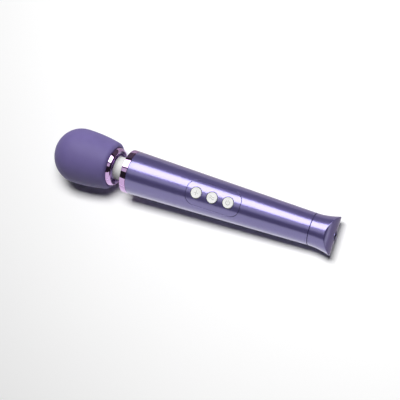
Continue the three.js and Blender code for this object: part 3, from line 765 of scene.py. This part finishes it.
class MakeNeckSpring(Operator):
    """Makes the coil spring inside the neck, in two halves that meet at the neck's pivot"""

    bl_idname = "wand.neck_spring"
    bl_label = "Neck spring"

    def execute(self, context):
        neck = context.scene.wand_neck
        wire = neck.spring_wire / MM
        coil = Tree("coil_spring", Turns="Float", Height="Float", Radius="Float", Wire="Float")
        spiral = coil.node(
            "GeometryNodeCurveSpiral", Resolution=40, Rotations=coil.inputs["Turns"],
            Start_Radius=coil.inputs["Radius"], End_Radius=coil.inputs["Radius"],
            Height=coil.inputs["Height"])
        circle = coil.node(
            "GeometryNodeCurvePrimitiveCircle", Resolution=12, Radius=coil.inputs["Wire"])
        wound = coil.node(
            "GeometryNodeCurveToMesh", Curve=spiral.outputs["Curve"],
            Profile_Curve=circle.outputs["Curve"], Fill_Caps=True)
        coil.finish(wound.outputs["Mesh"], finish_of("steel"))
        low, high = span("neck_spring")
        radius = high.y - wire
        for half, body, offset, way in NECK_HALVES:
            start, end = (low.x, PIVOT_X) if half == "front" else (PIVOT_X, high.x)
            lay = Matrix(((0, 0, way, 0), (1, 0, 0, 0), (0, way, 0, 0), (0, 0, 0, 1)))
            spring = coil.grow(f"neck_spring_{half}", {
                "Turns": neck.spring_turns - 0.5, "Height": (end - start - wire) * MM,
                "Radius": radius * MM, "Wire": wire * MM,
            }, WAND @ Matrix.Translation((PIVOT_X * MM, 0, 0)) @ lay)
            tidy(spring.data)
            smooth(spring, 50)
            settle(spring, None, "steel", "neck_spring")
            bend_with_neck(spring)
        return {"FINISHED"}


class MakeMotorLeads(Operator):
    """Makes the motor's two leads, each in two halves cut at the neck's pivot"""

    bl_idname = "wand.motor_leads"
    bl_label = "Motor leads"

    def execute(self, context):
        for tint in ("red", "black"):
            node = f"motor_lead_{tint}"
            for half, body, offset, way in NECK_HALVES:
                work = bmesh.new()
                work.from_mesh(frame["nodes"][node].data)
                bmesh.ops.remove_doubles(work, verts=work.verts, dist=1e-6)
                cut = bmesh.ops.bisect_plane(
                    work, geom=work.verts[:] + work.edges[:] + work.faces[:], plane_co=PIVOT,
                    plane_no=ALONG, clear_outer=way < 0, clear_inner=way > 0)
                rim = [item for item in cut["geom_cut"] if isinstance(item, bmesh.types.BMEdge)]
                bmesh.ops.holes_fill(work, edges=rim, sides=0)
                long = [edge for edge in work.edges if edge.calc_length() > 1.5 * MM]
                bmesh.ops.subdivide_edges(work, edges=long, cuts=5, use_grid_fill=True)
                wide = [face for face in work.faces if len(face.verts) > 4]
                bmesh.ops.triangulate(work, faces=wide)
                bmesh.ops.recalc_face_normals(work, faces=work.faces)
                mesh = bpy.data.meshes.new(f"{node}_{half}")
                work.to_mesh(mesh)
                work.free()
                lead = bpy.data.objects.new(mesh.name, mesh)
                context.scene.collection.objects.link(lead)
                smooth(lead, 60)
                settle(lead, None, f"{tint}_wire", node)
                bend_with_neck(lead)
        return {"FINISHED"}


# ---- Screws -----------------------------------------------------------------------------------


def screw_tree():
    """Pan-head screws on points: a crossed head over a pointed shaft with a raised thread."""
    tree = Tree(
        "pan_head_screws", Geometry="Geometry", Head_Radius="Float", Head_Height="Float",
        Shaft_Radius="Float", Shaft_Length="Float", Turn="Vector")

    def part(label, factor):
        return tree.scaled(tree.inputs[label], factor)

    def along(geometry, distance):
        return tree.moved(geometry, tree.vector(0, 0, distance))

    crown = tree.node(
        "GeometryNodeMeshCone", Vertices=36, Side_Segments=3, Radius_Top=part("Head Radius", 0.7),
        Radius_Bottom=tree.inputs["Head Radius"], Depth=tree.inputs["Head Height"])
    long, narrow, deep = part("Head Radius", 1.1), part("Head Radius", 0.22), part("Head Height", 1.2)
    slots = [
        along(tree.node("GeometryNodeMeshCube", Size=tree.vector(x, y, deep)).outputs["Mesh"],
              tree.inputs["Head Height"])
        for x, y in ((long, narrow), (narrow, long))]
    crossed = tree.node(
        "GeometryNodeMeshBoolean", Mesh_1=crown.outputs["Mesh"], Mesh_2=tree.join(*slots))
    shaft = tree.node(
        "GeometryNodeMeshCone", Vertices=24, Radius_Top=part("Shaft Radius", 0.82),
        Radius_Bottom=part("Shaft Radius", 0.4), Depth=tree.inputs["Shaft Length"])
    path = tree.node(
        "GeometryNodeCurveSpiral", Resolution=16, Rotations=8.0,
        Start_Radius=part("Shaft Radius", 0.46), End_Radius=part("Shaft Radius", 0.84),
        Height=part("Shaft Length", 0.84))
    ridge = tree.node(
        "GeometryNodeCurvePrimitiveCircle", Resolution=4, Radius=part("Shaft Radius", 0.16))
    thread = tree.node(
        "GeometryNodeCurveToMesh", Curve=path.outputs["Curve"], Profile_Curve=ridge.outputs["Curve"],
        Fill_Caps=True)
    one = tree.join(
        crossed.outputs["Mesh"], along(shaft.outputs["Mesh"], part("Shaft Length", -0.99)),
        along(thread.outputs["Mesh"], part("Shaft Length", -0.93)))
    turn = tree.node("FunctionNodeEulerToRotation", Euler=tree.inputs["Turn"])
    points = tree.node("GeometryNodeMeshToPoints", Mesh=tree.inputs["Geometry"])
    laid = tree.node(
        "GeometryNodeInstanceOnPoints", Points=points.outputs["Points"], Instance=one,
        Rotation=turn.outputs["Rotation"])
    return tree.finish(laid.outputs["Instances"], finish_of("steel"))


class MakeScrews(Operator):
    """Makes the pan-head screws of the head and of the board, with their crossed heads and threads"""

    bl_idname = "wand.screws"
    bl_label = "Screws"

    def execute(self, context):
        tree = screw_tree()
        head_height = 1.1
        sizes = {
            "Head Radius": 1.6 * MM, "Head Height": head_height * MM, "Shaft Radius": 0.8 * MM,
            "Shaft Length": 6.5 * MM}
        # The head's screws are driven in along the wand and the board's from above.
        along, upright_turn = (0, -math.pi / 2, 0), (0, 0, 0)
        for name, body, count, turn in (
                ("head_screw", "head", 3, along), ("board_screw", "handle", 4, upright_turn)):
            nodes = [f"{name}_{number + 1}" for number in range(count)]
            points = []
            for low, high in map(span, nodes):
                point = (low + high) / 2
                if body == "head":
                    point.x = low.x + head_height
                else:
                    point.z = high.z - head_height
                points.append(point)
            screws = tree.grow(f"{name}s", {**sizes, "Turn": turn}, WAND, points)
            tidy(screws.data, 1e-7)
            smooth(screws, 30)
            settle(screws, body, "steel", *nodes)
        return {"FINISHED"}


# ---- Handle -----------------------------------------------------------------------------------


class MakeFrontRing(Operator):
    """Makes the bright plated ring at the front of the handle"""

    bl_idname = "wand.front_ring"
    bl_label = "Front ring"

    def execute(self, context):
        low, high = span("front_ring")
        band_rear = TUBE_FRONT - FIT
        spigot = handle_radius(high.x) - WALL - FIT
        flange = NECK_FLANGE_RADIUS + FIT
        shelf = SLEEVE_REAR - FLANGE_THICKNESS - FIT
        profile = [
            (low.x, NECK_BORE), (low.x, 16.4), (low.x + 0.35, 16.6), (low.x, 16.8),
            (low.x, handle_radius(low.x)), (band_rear, handle_radius(band_rear)),
            (band_rear, spigot), (high.x, spigot), (high.x, spigot - WALL),
            (SLEEVE_REAR, spigot - WALL), (SLEEVE_REAR, flange), (shelf, flange), (shelf, NECK_BORE)]
        ring = turned("front_ring", profile, 144, bevel=0.35)
        settle(ring, "handle", "violet_chrome", "front_ring")
        return {"FINISHED"}


def on_handle(x, turn):
    """Point of the handle's surface at x, turned from the key side, in radians."""
    return (x, handle_radius(x) * math.sin(turn), handle_radius(x) * math.cos(turn))


def over_handle(x, y):
    """Point of the handle's surface straight above the plan point x, y."""
    return (x, y, math.sqrt(handle_radius(x) ** 2 - y * y))


def panel_outline(margin):
    """A test of whether a plan point is inside the panel's rounded outline, widened by a margin."""
    corner = bpy.context.scene.wand_handle.panel_corner / MM + margin
    half_length = (PANEL_HIGH.x - PANEL_LOW.x) / 2 + margin
    half_width = PANEL_HIGH.y + margin

    def inside(x, y):
        along, aside = abs(x - PANEL_MIDDLE) - (half_length - corner), abs(y) - (half_width - corner)
        if along <= 0 or aside <= 0:
            return along <= corner and aside <= corner
        return math.hypot(along, aside) <= corner

    return inside


def reach(start, direction, inside, limit):
    """How far a plan point can go from start along direction and still be inside."""
    return bisect(0.0, limit, lambda distance: inside(
        start[0] + direction[0] * distance, start[1] + direction[1] * distance))


def outwards(obj):
    """Turns an open sheet so that its faces look away from the wand's axis."""
    face = obj.data.polygons[0]
    centre = TO_WAND @ face.center
    normal = TO_WAND.to_3x3() @ face.normal
    if centre.y * normal.y + centre.z * normal.z < 0:
        obj.data.flip_normals()


def make_shell(sheet, node, handle):
    """Makes a lacquered shell of the handle from its outer surface, an open sheet."""
    outwards(sheet)
    solidify = sheet.modifiers.new("Wall", "SOLIDIFY")
    solidify.thickness = handle.wall
    solidify.offset = -1
    solidify.use_even_offset = True
    apply_modifiers(sheet)
    soften(sheet, handle.edge / MM, 50)
    smooth(sheet, 30)
    settle(sheet, "handle", "violet_lacquer", node)


class MakeHandleTube(Operator):
    """Makes the tapered handle tube, with the cut-out for the control panel"""

    bl_idname = "wand.handle_tube"
    bl_label = "Handle tube"

    def execute(self, context):
        around, side = 120, 20  # columns all round, and on each side of the panel's middle line
        step = 2 * math.pi / around
        patch = 32  # half length of the stretch round the panel that has closer columns
        low_x, high_x = PANEL_MIDDLE - patch, PANEL_MIDDLE + patch
        cut_x = spaced(low_x, high_x, 48)
        points, index, faces = [], {}, []

        def vertex(x, turn):
            key = (round(x, 5), round(turn % (2 * math.pi), 6))
            if key not in index:
                index[key] = len(points)
                points.append(on_handle(x, turn))
            return index[key]

        def grid(stations, first, last):
            for a, b in zip(stations, stations[1:]):
                for i in range(first, last):
                    faces.append([
                        vertex(a, i * step), vertex(b, i * step),
                        vertex(b, (i + 1) * step), vertex(a, (i + 1) * step)])

        grid(spaced(TUBE_FRONT, low_x, 8), 0, around)
        grid(spaced(high_x, TUBE_REAR, 10), 0, around)
        grid(cut_x, side, around - side)

        edge = [(x, -side * step) for x in cut_x[:-1]]
        edge += [(high_x, i * step) for i in range(-side, side)]
        edge += [(x, side * step) for x in cut_x[:0:-1]]
        edge += [(low_x, i * step) for i in range(side, -side, -1)]

        inside = panel_outline(FIT)
        rings = []
        for x, turn in edge:
            y = handle_radius(x) * math.sin(turn)
            share_in = reach((PANEL_MIDDLE, 0), (x - PANEL_MIDDLE, y), inside, 1.0)
            cut_at, cut_y = PANEL_MIDDLE + (x - PANEL_MIDDLE) * share_in, y * share_in
            cut_turn = math.asin(cut_y / handle_radius(cut_at))
            rings.append([
                (cut_at + (x - cut_at) * t, cut_turn + (turn - cut_turn) * t)
                for t in (0, 0.03, 0.1, 0.22, 0.4, 0.65, 1)])
        for ring, following in zip(rings, rings[1:] + rings[:1]):
            for i in range(len(ring) - 1):
                corners = (ring[i], following[i], following[i + 1], ring[i + 1])
                faces.append([vertex(*corner) for corner in corners])
        tube = mesh_piece("handle_tube", points, faces)
        make_shell(tube, "handle_tube", context.scene.wand_handle)
        return {"FINISHED"}


class MakeControlPanel(Operator):
    """Makes the control panel that is let into the handle, with the holes for the keys"""

    bl_idname = "wand.control_panel"
    bl_label = "Control panel"

    def execute(self, context):
        inside_panel = panel_outline(0)
        pitch = KEY_X[1] - KEY_X[0]
        hole = (span("power_key")[1].y - KEY_STEP) + 0.4
        # Directions round a key, in degrees, with one through each corner where two keys' parts meet.
        junction = math.degrees(math.atan2(PANEL_HIGH.y, pitch / 2))
        quarter = spaced(0, junction, 8) + spaced(junction, 90, 6)[1:]
        turns = quarter + [180 - turn for turn in quarter[-2::-1]]
        turns += [-turn for turn in turns[-2:0:-1]]
        points, faces = [], []
        for number, key_x in enumerate(KEY_X):
            low = key_x - pitch / 2 if number > 0 else -math.inf
            high = key_x + pitch / 2 if number < 2 else math.inf

            def inside(x, y, low=low, high=high):
                return low <= x <= high and inside_panel(x, y)

            rings = []
            for t in (0, 0.04, 0.12, 0.3, 0.5, 0.7, 0.88, 0.96, 1):
                ring = []
                for turn in turns:
                    way = (math.cos(math.radians(turn)), math.sin(math.radians(turn)))
                    far = reach((key_x, 0), way, inside, 30.0)
                    distance = hole + (far - hole) * t
                    ring.append(over_handle(key_x + way[0] * distance, way[1] * distance))
                rings.append(ring)
            add_faces(points, faces, *skin(rings))
        panel = mesh_piece("control_panel", points, faces)
        tidy(panel.data, 2e-5)
        make_shell(panel, "control_panel", context.scene.wand_handle)
        return {"FINISHED"}


# ---- Keys -------------------------------------------------------------------------------------


# Section of a raised mark, across and up, as parts of its width and height.
MARK_SECTION = (
    (-0.5, -0.35), (-0.5, 0.3), (-0.36, 0.78), (0, 1), (0.36, 0.78), (0.5, 0.3), (0.5, -0.35))


def stroke(path, width, height, key_x, rise):
    """A raised mark on a key: a flat rounded bead along a plan path, over the height that rise gives."""
    rings = []
    for (x, y), before, after in zip(path, path[:1] + path, path[1:] + path[-1:]):
        along = Vector((after[0] - before[0], after[1] - before[1])).normalized()
        ring = []
        for across, up in MARK_SECTION:
            px, py = x - along.y * across * width, y + along.x * across * width
            ring.append((key_x + px, py, rise(math.hypot(px, py)) + up * height))
        rings.append(ring)
    points, faces = skin(rings)
    size = len(MARK_SECTION)
    faces += [list(range(size)), list(range(len(points) - size, len(points)))]
    return points, faces


def key_marks():
    """Plan paths of the strokes on each key, in millimetres from the key's middle."""
    wave = [(x, 0.55 * math.sin(2 * math.pi * i / 24)) for i, x in enumerate(spaced(-1.9, 1.9, 24))]
    bar = spaced(-1.8, 1.8, 8)
    return {
        "intensity_key": [[(x, 0) for x in bar], [(0, y) for y in bar]],
        "pattern_key": [[(x, y + shift) for x, y in wave] for shift in (0.75, -0.75)],
        "power_key": [arc((0, 0), 1.75, 130, 410, 36), [(0, y) for y in spaced(0.3, 2.0, 6)]],
    }


class MakeKeys(Operator):
    """Makes the three round press keys and the raised marks on them"""

    bl_idname = "wand.keys"
    bl_label = "Keys"

    def execute(self, context):
        keys = context.scene.wand_keys
        dome = keys.dome / MM
        marks = key_marks()
        for name, key_x in zip(KEY_NAMES, KEY_X):
            low, high = span(name)
            flange, flange_top = high.y, low.z + 0.8
            radius = flange - KEY_STEP - keys.gap / MM
            rim = high.z - 0.1 - dome / 2

            def rise(distance):
                """Height of the key's face at a distance from its middle."""
                return rim - 0.12 + dome * (1 - (distance / radius) ** 2)

            # The skirt under each key is given black rubber instead of the key's white, so that the gap round the
            # key shows dark: painted shade in the gap.
            profile = [
                (0, low.z), (flange, low.z), (flange, flange_top), (radius + 0.02, flange_top),
                (radius + 0.02, flange_top + 0.3), (0, flange_top + 0.3)]
            shade_skirt = upright(f"{name}_skirt", profile, key_x, 72, bevel=0.1)
            settle(shade_skirt, name, "white_keys", name, finish="black_rubber")
            rounding = 0.4
            profile = [
                (0, flange_top + 0.05), (radius, flange_top + 0.05), (radius, rim - rounding)]
            profile += arc((radius - rounding, rim - rounding), rounding, 15, 90, 5)
            profile += [(radius * 0.82, rim + 0.02), (radius * 0.76, rim - 0.03)]
            profile += [(radius * part, rise(radius * part)) for part in (0.72, 0.6, 0.45, 0.3, 0.15, 0)]
            key = upright(name, profile, key_x, 96, sharp=50)
            settle(key, name, "white_keys", name)
            # The raised marks take a grey darker than the key: painted shade on the strokes.
            points, faces = [], []
            for path in marks[name]:
                add_faces(points, faces, *stroke(
                    path, keys.mark_width / MM, keys.mark_height / MM, key_x, rise))
            mark = mesh_piece(f"{name}_mark", points, faces, sharp=60)
            settle(mark, name, "white_keys", finish="key_marks")
        return {"FINISHED"}


# ---- Tail -------------------------------------------------------------------------------------


class MakeTailCap(Operator):
    """Makes the flared tail cap with its crowned end face"""

    bl_idname = "wand.tail_cap"
    bl_label = "Tail cap"

    def execute(self, context):
        tail = context.scene.wand_tail
        wing, depth, crown = tail.wing / MM, tail.depth / MM, tail.crown / MM
        front, end = SEAM + 0.25, TAIL_END
        around = 160
        turns = [2 * math.pi * i / around for i in range(around)]

        def side_point(x, turn):
            """Point of the flared side, where its spread grows from the seam to the end."""
            spread = max(0, (x - SEAM) / (end - SEAM)) ** 1.8
            radius = handle_radius(x)
            return (
                x, radius * math.sin(turn) * (1 + wing * spread / radius),
                radius * math.cos(turn) * (1 + depth * spread / radius))

        def crown_x(z):
            """How far back the crowned end face is at a height."""
            return end - crown + math.sqrt(max(0, crown * crown - z * z))

        def rim_point(turn):
            """Where the flared side meets the end face."""
            x = bisect(front, end, lambda x: x < crown_x(side_point(x, turn)[2]))
            return side_point(x, turn)

        def circle(x, radius):
            return [(x, radius * math.sin(turn), radius * math.cos(turn)) for turn in turns]

        rim = [rim_point(turn) for turn in turns]
        bezel_hole = span("jack_bezel")[1].y + 0.2
        rings = []
        for t in (0, 0.04, 0.15, 0.35, 0.55, 0.75, 0.9, 0.97, 1):
            ring = []
            for (x, hole_y, hole_z), (x, y, z) in zip(circle(0, bezel_hole), rim):
                at_y, at_z = hole_y + (y - hole_y) * t, hole_z + (z - hole_z) * t
                ring.append((crown_x(at_z), at_y, at_z))
            rings.append(ring)
        for t in (0.97, 0.9, 0.8, 0.68, 0.56, 0.44, 0.32, 0.2, 0.1, 0.03, 0):
            rings.append([
                side_point(front + (x - front) * t, turn) for turn, (x, y, z) in zip(turns, rim)])

        spigot = handle_radius(SEAM) - WALL - FIT
        cap_front, jack_front = span("tail_cap")[0].x, span("charge_jack")[0].x
        groove_front, groove_rear = SEAM - 5.8, SEAM - 4.2
        groove = span("tail_seal")[1].y - 1.3
        hollow, jack_hole = 9.6, 5.5  # radii
        hollow_rear = end - 8
        rings += [circle(x, radius) for x, radius in (
            (front, spigot), (groove_rear, spigot), (groove_rear, groove), (groove_front, groove),
            (groove_front, spigot), (cap_front, spigot), (cap_front, hollow), (hollow_rear, hollow),
            (hollow_rear, jack_hole), (jack_front, jack_hole), (jack_front, bezel_hole))]
        cap = mesh_piece("tail_cap", *skin(rings, closed=True), bevel=tail.rim / MM, sharp=30)
        settle(cap, "handle", "violet_lacquer", "tail_cap")
        return {"FINISHED"}


class MakeChargePort(Operator):
    """Makes the charging port: its ring, the jack behind it and the pin in its middle"""

    bl_idname = "wand.charge_port"
    bl_label = "Charging port"

    def execute(self, context):
        bore, plug_hole, pin_hole = 3.2, 2.4, 0.8  # radii
        plug_depth = 12
        low, high = span("jack_bezel")
        shoulder = low.x - FIT
        profile = [(low.x, bore), (low.x, high.y), (high.x, high.y), (high.x, bore)]
        bezel = turned("jack_bezel", profile, 72, bevel=0.2)
        settle(bezel, "handle", "violet_lacquer", "jack_bezel")
        low, high = span("charge_jack")
        profile = [
            (low.x, pin_hole), (low.x, high.y), (shoulder, high.y), (shoulder, bore - FIT),
            (high.x, bore - FIT), (high.x, plug_hole), (high.x - plug_depth, plug_hole),
            (high.x - plug_depth, pin_hole)]
        jack = turned("charge_jack", profile, 64, bevel=0.12)
        settle(jack, "handle", "black_plastic", "charge_jack")
        low, high = span("jack_pin")
        profile = [
            (low.x, 0), (low.x, high.y), (high.x - 0.5, high.y), (high.x - 0.15, high.y * 0.7),
            (high.x, high.y * 0.3), (high.x, 0)]
        pin = turned("jack_pin", profile, 32, sharp=40)
        settle(pin, "handle", "brass", "jack_pin")
        return {"FINISHED"}


# ---- Inner pieces -----------------------------------------------------------------------------


class FinishInnerPieces(Operator):
    """Gives every CAD piece that stays its own procedural finish"""

    bl_idname = "wand.inner_pieces"
    bl_label = "Inner pieces"

    def execute(self, context):
        slots = {part["node"]: part["material_slot"] for part in frame["record"]["subparts"]}
        for name, node in frame["nodes"].items():
            material = finish_of(slots[name])
            if not node.material_slots:
                node.data.materials.append(material)
            for holder in node.material_slots:
                holder.material = material
        return {"FINISHED"}


# ---- Stage ------------------------------------------------------------------------------------

HORIZON = 0.95  # brightness where the floor meets the backdrop
MIDDLE_HEIGHT = 0.02  # of the line that the strips turn about, in metres
# The camera's place, in millimetres, and its ways to the right and back, along the wand's own axes.
CAMERA_PLACE = (427.0, 27.1, 860.3)
CAMERA_RIGHT = (0.9028, 0.2914, -0.3163)
CAMERA_BACK = (0.3202, 0.0355, 0.9467)


def strip_light(name, start, end, distance, middle, size, radiance):
    """A long soft light beside the wand, between two angles from overhead towards +Y, in degrees."""
    width = 2 * distance * math.tan(math.radians(end - start) / 2)
    turn = math.radians(start + end) / 2
    data = bpy.data.lights.new(name, "AREA")
    data.shape = "RECTANGLE"
    data.size, data.size_y = size, width
    data.energy = radiance * math.pi * size * width
    light = bpy.data.objects.new(name, data)
    bpy.context.scene.collection.objects.link(light)
    light.location = (middle, distance * math.sin(turn), MIDDLE_HEIGHT + distance * math.cos(turn))
    light.rotation_euler = (-turn, 0, 0)
    light.visible_camera = False
    return light


def lights_only(light, obj, state):
    """Makes a light light only the given object, or everything but it."""
    receivers = bpy.data.collections.new(f"{light.name}_receivers")
    receivers.objects.link(obj)
    receivers.collection_objects[0].light_linking.link_state = state
    light.light_linking.receiver_collection = receivers


def seen_only_in(obj, ray):
    """Leaves a stage object visible to one kind of ray only."""
    for kind in ("camera", "diffuse", "glossy", "transmission", "volume_scatter", "shadow"):
        setattr(obj, f"visible_{kind}", kind == ray)


def glowing(obj, colour, strength, ray):
    """Makes a stage object shine by itself, for one kind of ray only."""
    finish = Finish(f"glowing_{obj.name}", (0, 0, 0), 1.0, specular_ior_level=0.0)
    finish.glow(colour, strength)
    obj.data.materials.append(finish.material)
    seen_only_in(obj, ray)


def gloss_card(name, corner, first, second, strength):
    """Makes a card that only shows in reflections. It goes from one corner along two sides."""
    a, u, v = Vector(corner), Vector(first), Vector(second)
    mesh = bpy.data.meshes.new(name)
    mesh.from_pydata([a, a + u, a + u + v, a + v], [], [(0, 1, 2, 3)])
    card = bpy.data.objects.new(name, mesh)
    bpy.context.scene.collection.objects.link(card)
    glowing(card, (1, 0.9, 0.95), strength, "glossy")
    return card


class MakeStage(Operator):
    """Makes the pale floor, the soft studio light and the camera"""

    bl_idname = "wand.stage"
    bl_label = "Stage"

    def execute(self, context):
        stage = context.scene.wand_stage
        bpy.ops.mesh.primitive_plane_add(size=8)
        floor = context.object
        floor.name = floor.data.name = "floor"
        finish = Finish("pale_floor", tuple(stage.floor_colour), 0.9, specular_ior_level=0.0)
        finish.tint(finish.noise(0.4, 2), 0.99, 1.01)
        finish.glow_far_away(0.45, 1.2, HORIZON)
        floor.data.materials.append(finish.material)

        bpy.ops.mesh.primitive_uv_sphere_add(segments=48, ring_count=24, radius=6)
        backdrop = context.object
        backdrop.name = backdrop.data.name = "backdrop"
        glowing(backdrop, (1, 1, 1), HORIZON, "camera")

        cards = [
            gloss_card("upright_card", (-0.5, 0.075, 0.001), (1.0, 0, 0), (0, 0, 0.06), 0.1),
            gloss_card("far_card", (-0.5, 0.02, 0.0004), (1.0, 0, 0), (0, 0.05, 0), 0.48),
            gloss_card("tail_card", (0.1272, -0.06, 0.0005), (0.1, 0, 0), (0, 0.12, 0), 0.35),
        ]

        world = bpy.data.worlds.new("even_light")
        context.scene.world = world
        world.use_nodes = True
        background = world.node_tree.nodes["Background"]
        background.inputs["Color"].default_value = (1, 1, 1, 1)
        background.inputs["Strength"].default_value = stage.sky

        softbox = strip_light(
            "softbox", 16, 55, distance=0.9, middle=-0.05, size=1.2, radiance=stage.softbox)
        floor_light = strip_light(
            "floor_light", 12, 26, distance=1.0, middle=0.12, size=0.5, radiance=stage.floor_light)
        overhead = strip_light(
            "overhead", -9, 9, distance=1.2, middle=-0.2, size=1.6, radiance=stage.overhead)
        side_card = strip_light(
            "side_card", -97, -44, distance=0.8, middle=-0.1, size=1.6, radiance=stage.side_card)
        lights_only(softbox, floor, "EXCLUDE")
        lights_only(floor_light, floor, "INCLUDE")
        lights_only(overhead, floor, "EXCLUDE")
        side_card.visible_diffuse = False

        data = bpy.data.cameras.new("camera")
        data.lens, data.sensor_width = 100, 36
        camera = bpy.data.objects.new("camera", data)
        context.scene.collection.objects.link(camera)
        right, back = Vector(CAMERA_RIGHT).normalized(), Vector(CAMERA_BACK).normalized()
        axes = Matrix((right, back.cross(right).normalized(), back)).transposed().to_4x4()
        camera.matrix_world = WAND @ Matrix.Translation(Vector(CAMERA_PLACE) * MM) @ axes
        context.scene.camera = camera
        context.scene.view_settings.view_transform = "Standard"
        return {"FINISHED"}


# ---- Add-on -----------------------------------------------------------------------------------

PIECE_OPERATORS = (
    MakeStage, FinishInnerPieces, MakeHeadCover, MakeHeadCollar, MakeNeckSleeve, MakeNeckSpring,
    MakeMotorLeads, MakeScrews, MakeFrontRing, MakeHandleTube, MakeControlPanel, MakeKeys, MakeTailCap,
    MakeChargePort,
)


class WandPanel(Panel):
    """Lists the wand's pieces, each with the sizes and colours it uses"""

    bl_idname = "VIEW3D_PT_wand"
    bl_label = "Wand massager"
    bl_space_type = "VIEW_3D"
    bl_region_type = "UI"
    bl_category = "Wand"

    def draw(self, context):
        for operator in PIECE_OPERATORS:
            self.layout.operator(operator.bl_idname)
        for holder in SETTINGS:
            settings = getattr(context.scene, holder)
            column = self.layout.column(heading=holder)
            for name in settings.__annotations__:
                column.prop(settings, name)


SETTINGS = {
    "wand_head": HeadSettings,
    "wand_neck": NeckSettings,
    "wand_handle": HandleSettings,
    "wand_keys": KeySettings,
    "wand_tail": TailSettings,
    "wand_stage": StageSettings,
}
CLASSES = (*SETTINGS.values(), *PIECE_OPERATORS, WandPanel)


def register():
    for cls in CLASSES:
        bpy.utils.register_class(cls)
    for holder, group in SETTINGS.items():
        setattr(bpy.types.Scene, holder, PointerProperty(type=group))


def unregister():
    for holder in SETTINGS:
        delattr(bpy.types.Scene, holder)
    for cls in reversed(CLASSES):
        bpy.utils.unregister_class(cls)


def main():
    register()
    for operator in PIECE_OPERATORS:
        group, name = operator.bl_idname.split(".")
        getattr(getattr(bpy.ops, group), name)()


if __name__ == "__main__":
    main()
